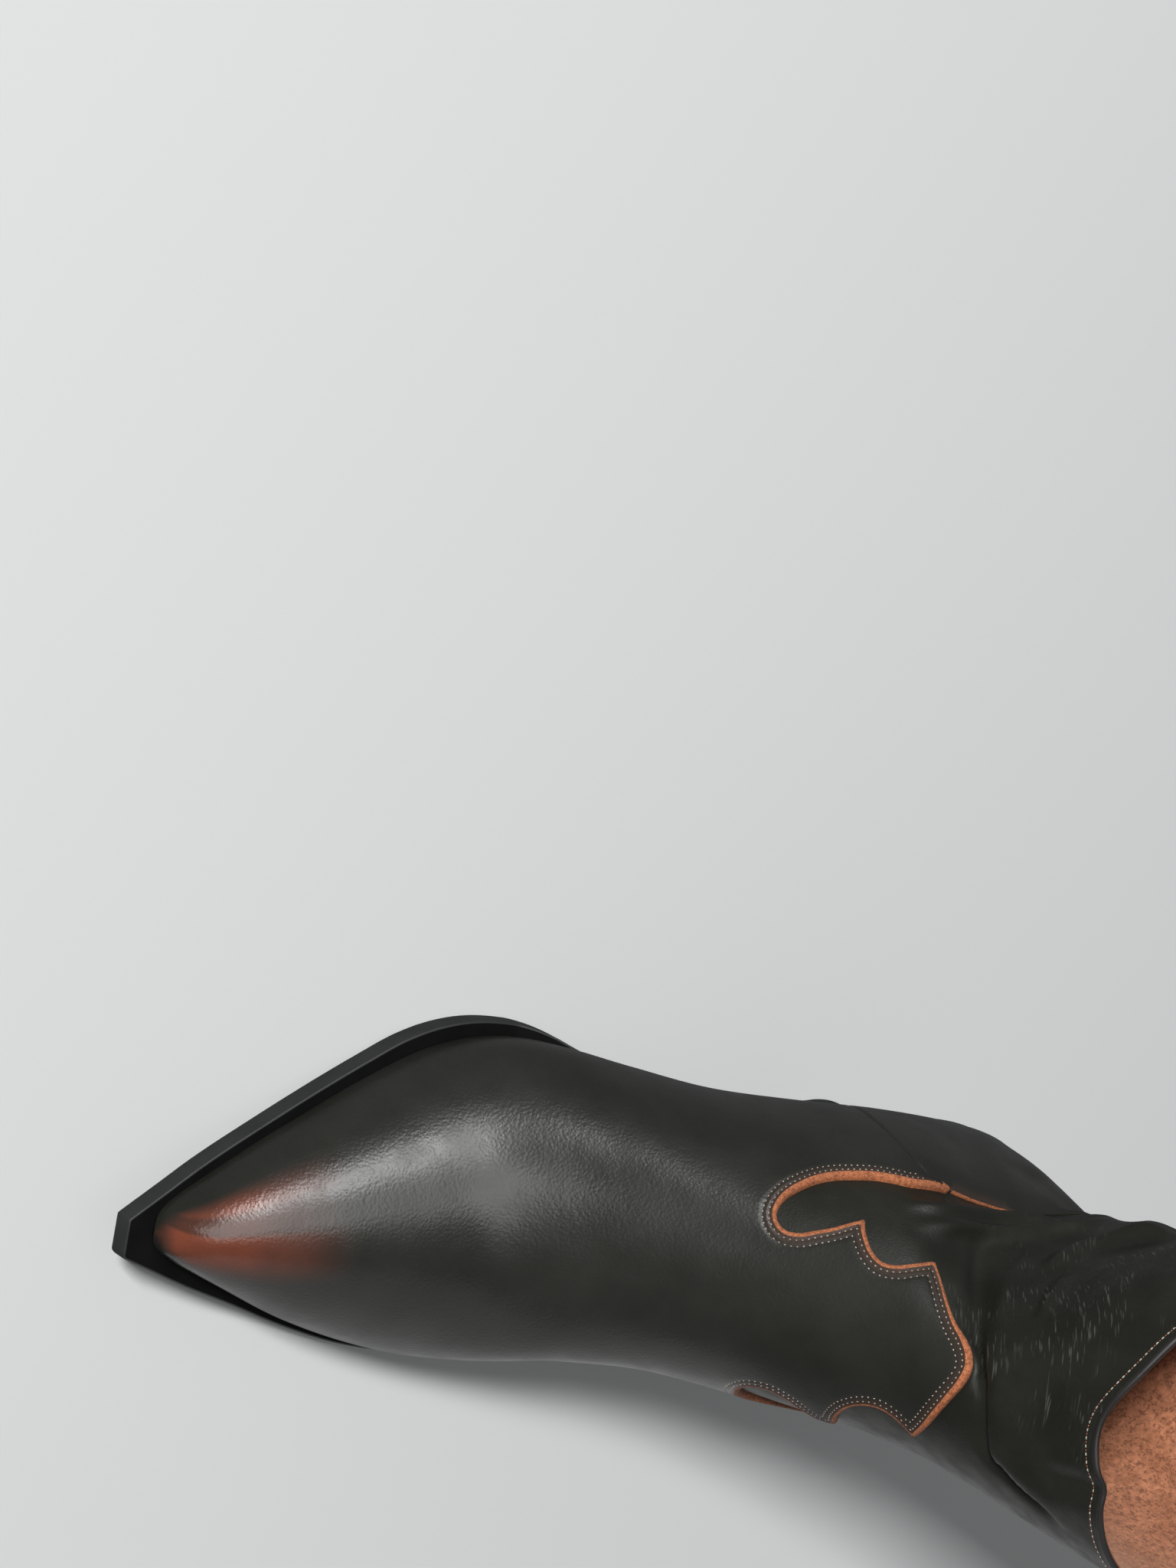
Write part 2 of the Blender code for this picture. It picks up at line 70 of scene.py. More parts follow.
# Underside of the sole from the heel to the tread: x and height
ARCH = (
    (0, 53.5),
    (20, 52.0),
    (40, 49.0),
    (61, 43.0),
    (86, 32.5),
    (110, 20.5),
    (134, 9.0),
    (160, 0.0),
)
SOLE_PLAN_COLUMNS = ("x", "left", "right")
SOLE_PLAN = (
    (285.6, 5.6, 3.6),
    (284.8, 6.7, 4.4),
    (275.0, 11.5, 9.4),
    (261.5, 18.0, 16.4),
    (244.0, 25.7, 24.3),
    (227.5, 33.2, 31.6),
    (211.5, 39.6, 38.4),
    (198.5, 43.8, 43.6),
    (186.0, 46.6, 46.6),
    (174.0, 47.2, 47.5),
    (161.0, 44.6, 46.2),
    (150.0, 40.6, 43.4),
    (134.0, 33.6, 36.6),
    (110.0, 28.6, 30.0),
    (86.0, 26.8, 27.6),
    (61.0, 27.2, 27.4),
    (41.0, 27.8, 27.6),
)
HEEL_CENTRE_X = 41.0
SOLE_HEEL_LENGTH = 43.0
INSOLE_HEEL_LENGTH = 34.0
INSOLE_TOE_X = 262.0
SOLE_FLANK_STEPS = 14
SOLE_HEEL_STEPS = 40
SOLE_TOE_POINTS = 6
SOLE_TOE_FIRST = 0.2
SOLE_CORNER_WIDE = 0.4
SOLE_CORNER_BACK = 0.15
INSOLE_FLANK_POINTS = 90
INSOLE_HEEL_STEPS = 24
HEEL_LAST_TURN = 0.06

# Rings up the wall of each plate: how far it is drawn in and how high it lies
SOLE_RINGS = (
    (1.0, 0.0),
    (0.45, 0.12),
    (0.12, 0.45),
    (0.0, 0.9),
    (0.0, SOLE_THICK * 0.5),
    (0.0, SOLE_THICK - 0.55),
    (0.08, SOLE_THICK - 0.22),
    (0.28, SOLE_THICK - 0.05),
    (0.55, SOLE_THICK),
    (0.8, SOLE_THICK),
)
# First ring of the sole's top ledge, whose faces take the painted shade of the groove
SOLE_LEDGE_FROM = 8
INSOLE_RINGS = (
    (0.0, 0.0),
    (-INSOLE_FLARE, INSOLE_THICK - 0.6),
    (0.25 - INSOLE_FLARE, INSOLE_THICK - 0.15),
    (0.7 - INSOLE_FLARE, INSOLE_THICK),
)
LIFT_RINGS = (
    (0.6, 0.0),
    (0.15, 0.15),
    (0.0, 0.6),
    (0.0, LIFT_THICK - 0.4),
    (0.3, LIFT_THICK),
)

# Sections of the last, each in a plane through a back point and a top point
HEEL_HALF = 33.0
SECTION_COLUMNS = (
    "back_x", "rise", "top_x", "top_z", "lean",
    "feather_l", "feather_r", "wide_l", "wide_r", "wide_at", "crown", "heel",
)
SECTIONS = (
    (275.0, 0.0, 274.9, 15.5, 0.0, 0.0, 0.0, 0.0, 0.0, 0.20, 2.00, 0.0),
    (274.2, 0.0, 272.6, 20.6, 0.0, 3.2, 3.2, 3.5, 3.5, 0.20, 2.00, 0.0),
    (272.0, 0.0, 269.0, 24.2, 0.0, 5.4, 5.4, 5.8, 5.8, 0.20, 1.90, 0.0),
    (267.0, 0.0, 262.5, 27.6, 0.0, 8.6, 8.2, 9.2, 8.8, 0.20, 1.80, 0.0),
    (254.0, 0.0, 250.0, 31.8, 0.0, 15.0, 14.0, 15.8, 14.8, 0.20, 1.75, 0.0),
    (234.0, 0.0, 232.0, 37.2, 0.0, 24.4, 22.6, 25.4, 23.4, 0.20, 1.72, 0.0),
    (211.0, 0.0, 211.5, 42.8, 0.0, 33.2, 32.0, 34.2, 32.8, 0.20, 1.72, 0.0),
    (191.0, 0.0, 193.0, 49.0, 0.0, 38.4, 38.8, 39.4, 40.0, 0.21, 1.76, 0.0),
    (173.0, 0.0, 177.0, 60.5, 0.0, 38.8, 41.2, 40.0, 43.4, 0.23, 1.82, 0.0),
    (155.0, 0.0, 163.0, 74.5, 0.0, 35.0, 39.0, 37.2, 42.6, 0.26, 1.88, 0.0),
    (133.5, 0.0, 150.5, 89.5, 0.4, 28.8, 33.4, 34.6, 39.6, 0.30, 1.94, 0.0),
    (110.5, 0.0, 139.8, 103.5, 1.2, 25.6, 28.8, 34.8, 37.4, 0.33, 2.00, 0.0),
    (86.5, 0.0, 130.5, 115.5, 2.1, 24.6, 26.6, 37.0, 38.2, 0.34, 2.00, 0.0),
    (61.5, 0.0, 124.3, 124.0, 3.0, 25.2, 26.2, 38.8, 39.0, 0.35, 2.00, 0.1),
    (40.0, 0.0, 121.0, 130.0, 4.0, 25.8, 26.0, 40.0, 37.4, 0.38, 2.00, 0.4),
    (23.0, 0.0, 119.3, 135.0, 5.0, 23.0, 23.0, 40.2, 32.8, 0.42, 2.00, 0.75),
    (8.5, 0.0, 118.4, 139.0, 5.8, 15.2, 15.0, 39.8, 29.4, 0.46, 2.00, 0.85),
    (1.0, 0.0, 117.8, 142.7, 6.4, 0.0, 0.0, 39.6, 27.2, 0.50, 2.00, 0.7),
    (1.0, 16.5, 116.2, 149.5, 6.4, 0.0, 0.0, 39.6, 25.2, 0.50, 2.00, 0.1),
    (11.0, 40.5, 114.6, 157.3, 6.0, 0.0, 0.0, 40.2, 25.6, 0.50, 2.00, -0.6),
    (20.0, 66.5, 114.0, 165.1, 5.2, 0.0, 0.0, 40.8, 31.4, 0.50, 2.00, -0.9),
    (18.0, 92.5, 114.4, 173.5, 4.2, 0.0, 0.0, 42.6, 39.4, 0.50, 2.00, -0.4),
    (10.0, 118.0, 115.5, 182.0, 3.4, 0.0, 0.0, 44.8, 42.6, 0.50, 2.00, 0.0),
    (4.0, 140.0, 116.0, 192.0, 2.8, 0.0, 0.0, 47.0, 42.0, 0.50, 2.00, 0.0),
)
LAST_SECTION = len(SECTIONS) - 1
FIRST_CLOSED = 17
PROFILE_POINTS = 120
FINE_STEPS = 8
FINE_PLACES = np.linspace(0, LAST_SECTION, LAST_SECTION * FINE_STEPS + 1)
ROUGH_COLUMNS = 24
SOFT_FROM = 13.5
SOFT_TO = 20.5
SOFT_BLEND = 2.0
SOFT_EDGE = 0.07
SOFT_PASSES = 60

# Waves of the collar's rim: where round it, how wide and how high
COLLAR_WAVES = (
    (0.525, 0.040, -3.6),
    (0.465, 0.034, 1.2),
)
COLLAR_FROM = 21

# Fineness of the skins
SKIN_PITCH = 1.2
SKIN_COLUMNS = 200
LINING_PITCH = 2.4
LINING_COLUMNS = 110
SHAFT_FROM = 8.0
LINE_PITCH = 0.4
NEAREST_BLOCK = 4000

# Marks on the last along the edge of the vamp: up the right side seam, round both wings, down the left seam
RIGHT_SEAM = (
    (74.0, -28.6, 47.8), (79.4, -33.8, 58.6), (84.7, -36.1, 71.2), (87.5, -35.8, 79.8),
    (89.6, -34.5, 88.7), (90.5, -33.0, 94.8), (90.1, -31.5, 99.1),
)
TAB_TOP = (
    (90.1, -31.5, 99.1), (86.1, -30.3, 100.0), (83.2, -29.0, 101.0),
)
RIGHT_TAB = (
    (83.2, -29.0, 101.0), (84.4, -28.4, 102.5), (88.6, -29.2, 102.9), (93.3, -30.1, 102.7),
    (97.5, -30.6, 102.0), (102.6, -31.1, 99.2), (107.2, -31.2, 96.3), (111.9, -30.9, 93.9),
    (116.8, -30.3, 91.8), (122.4, -29.1, 90.3), (127.5, -27.4, 89.8), (131.8, -25.5, 89.8),
    (134.8, -23.6, 90.6), (136.6, -21.6, 91.9), (136.9, -20.2, 93.6), (136.2, -19.2, 95.5),
    (134.3, -19.1, 97.7), (130.2, -20.3, 100.3), (126.2, -21.6, 102.5), (122.0, -23.1, 104.1),
    (117.9, -24.3, 105.6),
)
RIGHT_BAY = (
    (117.9, -24.3, 105.6), (119.2, -22.4, 107.2), (120.1, -20.1, 109.8), (120.4, -18.0, 112.7),
    (119.5, -16.6, 115.6), (117.2, -16.4, 118.0), (113.4, -17.0, 119.9), (107.2, -17.6, 121.3),
)
TONGUE = (
    (107.2, -17.6, 121.3), (108.1, -13.8, 126.5), (109.4, -10.0, 131.9), (110.5, -7.1, 137.2),
    (111.4, -5.1, 142.1), (112.7, -3.0, 145.9), (114.3, -0.5, 148.2), (116.1, 3.5, 148.2),
    (116.9, 7.4, 146.4), (116.8, 12.2, 143.6), (115.3, 18.0, 139.6), (112.1, 23.9, 133.8),
)
LEFT_BAY = (
    (112.1, 23.9, 133.8), (115.2, 20.7, 129.9), (117.3, 19.2, 126.4), (118.9, 19.0, 122.8),
    (120.0, 20.1, 119.1), (120.0, 22.5, 115.4), (118.4, 25.6, 112.1), (112.2, 31.6, 106.2),
)
LEFT_LOBE = (
    (112.2, 31.6, 106.2), (115.5, 31.3, 101.9), (121.0, 28.8, 100.7), (127.3, 25.3, 99.3),
    (130.9, 23.8, 97.0), (133.1, 24.1, 93.4), (132.9, 25.8, 90.1), (130.0, 28.8, 86.0),
    (125.0, 31.6, 82.6), (118.0, 34.6, 80.6), (109.0, 37.2, 81.0), (100.0, 39.2, 83.6),
    (91.6, 40.6, 87.0), (84.8, 41.6, 91.0),
)
LEFT_SEAM = (
    (84.8, 41.6, 91.0), (83.6, 41.6, 84.0), (81.6, 41.0, 76.0), (79.0, 39.4, 67.0),
    (75.6, 35.0, 57.0), (72.5, 27.6, 47.8),
)
COUNTER_TOP = (
    (145.0, -30.0, 78.0), (125.0, -32.5, 86.0), (108.0, -33.0, 93.0), (97.0, -32.0, 98.6),
    (90.0, -30.5, 101.0), (84.0, -28.6, 102.0), (72.7, -24.6, 102.7), (65.1, -22.5, 102.6),
    (55.3, -20.2, 103.9), (46.2, -19.7, 105.0), (25.7, -15.7, 109.0), (17.2, -5.4, 110.4),
    (15.6, 1.7, 110.8), (17.2, 12.3, 110.4), (25.5, 29.0, 107.6), (42.0, 42.0, 102.0),
    (67.3, 45.3, 96.4), (84.8, 41.8, 90.6), (91.6, 40.9, 86.0), (100.0, 39.6, 82.2),
    (109.0, 37.8, 79.0), (118.0, 35.2, 78.2), (130.0, 30.0, 80.0),
)

# Cut edge of the overlays and the stitch rows along it
EDGE_RISE = 1.5
EDGE_FOOT = 0.25
EDGE_CURL = 0.12
EDGE_CURL_REACH = 2.0
EDGE_LEVELS = (0.0, 0.1, 0.3, 0.6, 0.9, 1.25, 1.5)
RAW_WIDTH = 1.45
TINGE_REACH = 5.0
TINGE_FULL = 1.2
TINGE_MOST = 0.75
SEAM_GAP = 0.12
STITCH_ROWS = (2.25, 3.9)
STITCH_PITCH = 1.65
STITCH_LENGTH = 0.6
STITCH_RADIUS = 0.19
STITCH_SINK = 0.16
STITCH_AHEAD = 0.3
STITCH_CHANNEL = 0.5
STITCH_DENT = 0.22
STITCH_DENT_WIDTH = 0.45
SHORTEST_RUN = 4
BEAD_SHAPE = (0.35, 0.75, 0.95, 1.0, 0.95, 0.75, 0.35)
BEAD_SIDES = 8
BEAD_BOW = 0.35
SEAM_GROOVE = 0.45
SEAM_GROOVE_WIDTH = 0.5
COUNTER_COVERED_X = 57.0
COUNTER_RIBBON_RUN = 22.0
COUNTER_RIBBON = 0.45
COUNTER_EDGE_SHARE = 0.35
COUNTER_EDGE_REACH = 9.0
FEATHER_THIN = 1.3
FEATHER_REACH = 9.0
FEATHER_SIDE = 14.0

# Collar: a rolled edge over the rim and one row of stitches under it
ROLL_HALF_WIDTH = 1.05
ROLL_HALF_HEIGHT = 0.95
ROLL_TOP = 2.7
ROLL_STEPS = 16
ROLL_RAW_STEPS = (5, 6)
BAND_LOW = -0.6
COLLAR_STITCH_DROP = 0.5
COLLAR_STITCH_PITCH = 2.0
COLLAR_STITCH_LENGTH = 1.05
COLLAR_HOLE_LENGTH = 0.6
COLLAR_HOLE_RADIUS = 0.15

# Main crease of the shaft, from its right side over the front to its left: a trough, and on the collar's
# side of it a lip that grows along the way, hangs over, and softens from a share of the way on
CREASE = {
    "marks": (
        (76.0, -20.4, 112.0), (88.4, -17.6, 122.1), (98.7, -13.3, 132.6), (107.4, -7.8, 142.6),
        (112.4, -2.7, 149.1), (114.3, 0.8, 152.7), (115.0, 7.3, 155.7), (113.9, 13.2, 156.9),
        (112.5, 17.2, 157.7), (111.3, 19.5, 159.3), (110.6, 20.6, 162.3), (109.5, 22.6, 165.9),
        (108.4, 24.7, 170.1), (106.9, 27.3, 176.2), (103.0, 32.4, 183.0),
    ),
    "depth": 2.4, "width": 3.2,
    "lip": 3.6, "lip_start": 0.3, "steep": 2.2, "reach": 13.0,
    "lip_from": 0.25, "lip_full": 0.6, "soft_from": 0.72,
}

# Softer folds: marks along the ridge or trough, its height and its half-width
FOLDS = (
    {
        "marks": (
            (107.0, -27.4, 104.0), (96.3, -26.0, 108.1), (84.4, -24.1, 107.9), (70.8, -21.8, 106.8),
            (58.1, -20.2, 107.4), (49.9, -19.9, 109.0), (40.0, -19.6, 111.4),
        ),
        "height": 3.0, "width": 2.6,
    },
    {
        "marks": (
            (108.0, -23.6, 111.0), (100.5, -23.5, 112.9), (85.1, -21.4, 113.0), (75.1, -20.0, 113.8),
            (66.5, -19.7, 114.9), (55.2, -19.9, 115.6), (45.6, -20.2, 116.8), (34.0, -19.6, 120.5),
        ),
        "height": 3.2, "width": 2.8,
    },
    {
        "marks": (
            (82.0, -19.2, 138.4), (72.7, -21.1, 136.0), (67.3, -22.1, 135.0), (60.1, -23.6, 135.7),
            (56.9, -26.3, 141.1), (53.8, -28.9, 145.8), (52.2, -31.4, 150.4), (54.0, -33.8, 158.0),
        ),
        "height": 3.0, "width": 4.0,
    },
    {
        "marks": (
            (69.6, -19.8, 126.8), (77.8, -18.4, 127.7), (86.8, -16.6, 131.6), (94.3, -14.3, 137.2),
            (100.4, -11.7, 142.2), (104.7, -9.4, 145.5),
        ),
        "height": 0.9, "width": 2.4,
    },
    {
        "marks": (
            (79.4, -22.0, 144.0), (87.2, -20.0, 147.6), (94.3, -17.5, 151.4), (101.2, -14.6, 156.5),
        ),
        "height": 0.9, "width": 2.6,
    },
    {
        "marks": (
            (113.2, 17.6, 174.0), (114.2, 14.4, 182.0), (114.8, 12.0, 192.0), (114.8, 11.0, 199.0),
        ),
        "height": -1.8, "width": 3.4,
    },
    {
        "marks": (
            (24.0, -14.7, 104.0), (27.0, -16.2, 110.0), (31.5, -17.6, 117.6), (38.6, -21.2, 127.9),
            (45.0, -25.8, 138.4), (48.4, -29.4, 146.4), (50.0, -32.2, 153.5),
        ),
        "height": 5.0, "width": 9.0,
    },
    {
        "marks": (
            (28.0, -20.8, 78.0), (27.6, -19.6, 87.0), (27.2, -17.8, 94.5), (27.0, -16.4, 101.0),
            (27.0, -15.6, 107.0),
        ),
        "height": -1.9, "width": 8.0,
    },
)
FOLD_TAPER = 0.22
FOLD_CLEARANCE = 6.0
CREASE_CLEARANCE = 2.5
LINING_SINK = 1.6
LINING_SINK_WIDTH = 5.0

# Heel block, by share of its height
HEEL_COLUMNS = ("share", "back_x", "breast_x", "half_width")
HEEL_LEVELS = (
    (0.00, 9.6, 44.4, 14.6),
    (0.25, 8.2, 45.0, 15.0),
    (0.50, 6.2, 46.6, 16.4),
    (0.75, 3.4, 50.0, 19.4),
    (1.00, -0.6, 56.0, 25.2),
)
HEEL_ROUND_SHARE = 0.62
HEEL_ROUND_STEPS = 24
HEEL_BREAST_SHARE = 0.96
HEEL_STEPS = 25

# Rounding of the breast's corners: along x from the breast and in from the corner
HEEL_BREAST = (
    (-1.2, -0.15),
    (-0.3, 0.15),
    (0.0, 1.0),
)

# Camera in the frame of the last
CAMERA_AT = (782.6, -309.2, 682.7)
CAMERA_RIGHT = (-0.7449, -0.1885, 0.6399)
CAMERA_UP = (0.0027, -0.9601, -0.2795)
LENS = 80.68
SENSOR = 36.0

# Lights in the row frame: turn from +X and rise over the floor in degrees, sizes in metres, power in watts
LIGHT_COLUMNS = ("name", "turn", "rise", "distance", "width", "height", "power", "hidden_from")
LIGHTS = (
    ("key_softbox", -35.5, 35.0, 4.0, 0.6, 0.6, 195.0, "visible_glossy"),
    ("overhead_softbox", -62.0, 66.0, 3.0, 2.1, 2.1, 56.0, "visible_diffuse"),
    ("strip_softbox", -91.0, 36.0, 4.0, 0.75, 1.6, 74.0, "visible_diffuse"),
    ("left_card", 112.0, 4.0, 2.5, 3.4, 5.0, 22.0, "visible_diffuse"),
)
LIGHTS_AIM = (0.0, 0.0, 0.04)
SKY_COLOUR = (0.97, 0.985, 1.0)
SKY_STRENGTH = 0.13
FLOOR_COLOUR = (0.72, 0.73, 0.73)
FLOOR_ROUGHNESS = 0.8
FLOOR_GLOW = 0.045
FLOOR_REACH = 6.0

lift_low, lift_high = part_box("heel_lift")
SHIFT = np.array([
    HEEL_LEVELS[0][1] - lift_low[0] / MM,
    -(lift_low[1] + lift_high[1]) / 2 / MM,
    0.0,
])


def to_world(points):
    return (np.asarray(points, float) - SHIFT) * MM


# Curves and the last

def smooth(places, knots, values):
    """A cubic curve through the values at the knots, held at its ends."""
    knots = np.asarray(knots, float)
    values = np.asarray(values, float)
    places = np.clip(np.asarray(places, float), knots[0], knots[-1])
    slopes = np.gradient(values, knots, axis=0)
    low = np.clip(np.searchsorted(knots, places, side="right") - 1, 0, len(knots) - 2)
    step = knots[low + 1] - knots[low]
    t = (places - knots[low]) / step
    if values.ndim == 2:
        t = t[..., None]
        step = step[..., None]
    near = (2 * t**3 - 3 * t**2 + 1) * values[low] + (t**3 - 2 * t**2 + t) * step * slopes[low]
    far = (3 * t**2 - 2 * t**3) * values[low + 1] + (t**3 - t**2) * step * slopes[low + 1]
    return near + far


def ease(share):
    """Goes from 0 to 1 with level ends."""
    share = np.clip(share, 0, 1)
    return share**2 * (3 - 2 * share)


def hump(off, width):
    """1 in the middle, fading over a width to both sides."""
    return np.exp(-((off / width) ** 2))


def running(steps):
    """Sums of the steps so far, from 0."""
    return np.concatenate([[0], np.cumsum(steps)])


def lengths(points):
    """Way along a line of points, from 0 at its first one."""
    return running(np.linalg.norm(np.diff(points, axis=0), axis=1))


def underside(x):
    """Height of the sole's underside over the floor."""
    arch_x, arch_rise = np.array(ARCH).T
    front = np.clip(np.asarray(x, float) - TREAD_FRONT, 0, None) / (TOE_X - TREAD_FRONT)
    spring = TOE_SPRING * front**SPRING_POWER
    return np.where(np.asarray(x) > TREAD_BACK, spring, smooth(x, arch_x, arch_rise))


def sole_top(x):
    return underside(x) + SOLE_THICK


def feather(x):
    """Height of the line where the upper meets the sole."""
    return sole_top(x) + GAP


def half_section(edge, low, wide, wide_at, crown):
    """Share of the climb and half-width along one side of a section, from its back end to its top."""
    start = np.arcsin(edge / low) if edge else 0
    turn = np.linspace(start, np.pi / 2, PROFILE_POINTS)
    share = 1 - np.cos(turn) / np.cos(start)
    above = np.sin(np.linspace(0, np.pi / 2, PROFILE_POINTS))[1:]
    climb = np.concatenate([wide_at * share, wide_at + (1 - wide_at) * above])
    below_half = (low + (wide - low) * ease(share)) * np.sin(turn)
    above_half = wide * np.sqrt(np.clip(1 - above**crown, 0, None))
    return climb, np.concatenate([below_half, above_half])


def section_side(row, side, count):
    """Points at equal steps up one side of a section. side is 1 for the left and -1 for the right."""
    values = dict(zip(SECTION_COLUMNS, row))
    hand = "_l" if side > 0 else "_r"
    edge = max(values["feather" + hand], 0)
    wide = values["wide" + hand]
    low = wide + (HEEL_HALF - wide) * values["heel"]
    climb, half = half_section(edge, low, wide, values["wide_at"], values["crown"])
    back = np.array([values["back_x"], 0, feather(values["back_x"]) + max(values["rise"], 0)])
    top = np.array([values["top_x"], 0, values["top_z"]])
    height = np.linalg.norm(top - back)
    arc = running(np.hypot(np.diff(climb) * height, np.diff(half)))
    places = np.linspace(0, arc[-1], count)
    climb = np.interp(places, arc, climb)
    points = back + (top - back) * climb[:, None]
    points[:, 1] = side * np.interp(places, arc, half) + values["lean"] * ease(climb / values["wide_at"])
    return points


def last_grid(places, columns):
    """Points of the last, a row for each place in the table, from the left feather over to the right."""
    half = columns // 2 + 1
    fine = np.array([
        np.vstack([section_side(row, 1, half), section_side(row, -1, half)[-2::-1]])
        for row in smooth(FINE_PLACES, np.arange(LAST_SECTION + 1), SECTIONS)
    ])
    around = np.linspace(0, 1, columns + 1)
    soft = ease((FINE_PLACES - SOFT_FROM) / SOFT_BLEND) * ease((SOFT_TO - FINE_PLACES) / SOFT_BLEND)
    weight = 0.25 * soft[1:-1, None] * ease(np.minimum(around, 1 - around) / SOFT_EDGE)
    for _ in range(SOFT_PASSES):
        fine[1:-1] += weight[:, :, None] * (fine[2:] - 2 * fine[1:-1] + fine[:-2])
    wave = sum(height * hump(around - centre, width) for centre, width, height in COLLAR_WAVES)
    grown = np.clip((FINE_PLACES - COLLAR_FROM) / (LAST_SECTION - COLLAR_FROM), 0, 1)
    fine[:, :, 2] += grown[:, None] * wave
    rows = smooth(places, FINE_PLACES, fine.reshape(len(FINE_PLACES), -1))
    return rows.reshape(len(places), columns + 1, 3)


def grid_normals(grid, closed_from):
    """Outward directions at the grid's points, shared along the back seam and at the toe's tip."""
    across = np.cross(grid[1:, 1:] - grid[:-1, :-1], grid[1:, :-1] - grid[:-1, 1:])
    normals = np.zeros_like(grid)
    for rows in (slice(None, -1), slice(1, None)):
        for columns in (slice(None, -1), slice(1, None)):
            normals[rows, columns] += across
    seam = normals[closed_from:, 0] + normals[closed_from:, -1]
    normals[closed_from:, 0] = seam
    normals[closed_from:, -1] = seam
    normals[0] = normals[0].sum(axis=0)
    normals /= np.linalg.norm(normals, axis=2, keepdims=True)
    ridge = normals[len(grid) // 2, grid.shape[1] // 2]
    return normals * np.sign(ridge[2])


def even_places(pitch):
    """Places in the table of sections about a pitch apart, with one where the back seam closes."""
    rough = last_grid(FINE_PLACES, ROUGH_COLUMNS)
    arc = running(np.linalg.norm(np.diff(rough, axis=0), axis=2).mean(axis=1))
    places = np.interp(np.linspace(0, arc[-1], int(arc[-1] / pitch)), arc, FINE_PLACES)
    places[np.abs(places - FIRST_CLOSED).argmin()] = FIRST_CLOSED
    return places


def grid_triangles(index, points=None):
    """Triangles of a grid of point numbers, without those that have collapsed.

    Where the points are given, each square is split along its shorter diagonal.
    """
    a = index[:-1, :-1].ravel()
    b = index[1:, :-1].ravel()
    c = index[1:, 1:].ravel()
    d = index[:-1, 1:].ravel()
    triangles = np.column_stack([a, c, b, a, d, c])
    if points is not None:
        first = np.linalg.norm(points[a] - points[c], axis=1)
        second = np.linalg.norm(points[b] - points[d], axis=1)
        other = np.column_stack([a, d, b, d, c, b])
        triangles = np.where((first <= second)[:, None], triangles, other)
    triangles = np.concatenate([triangles[:, :3], triangles[:, 3:]])
    same = (triangles == np.roll(triangles, 1, axis=1)).any(axis=1)
    return triangles[~same]


def tube(levels, count):
    """Point numbers of closed loops, a row for each, and the triangles between them."""
    index = np.arange(levels * count).reshape(levels, count)
    return index, grid_triangles(np.column_stack([index, index[:, 0]])).tolist()


def triangle_edges(triangles):
    return np.concatenate([triangles[:, pair] for pair in ([0, 1], [1, 2], [2, 0])])


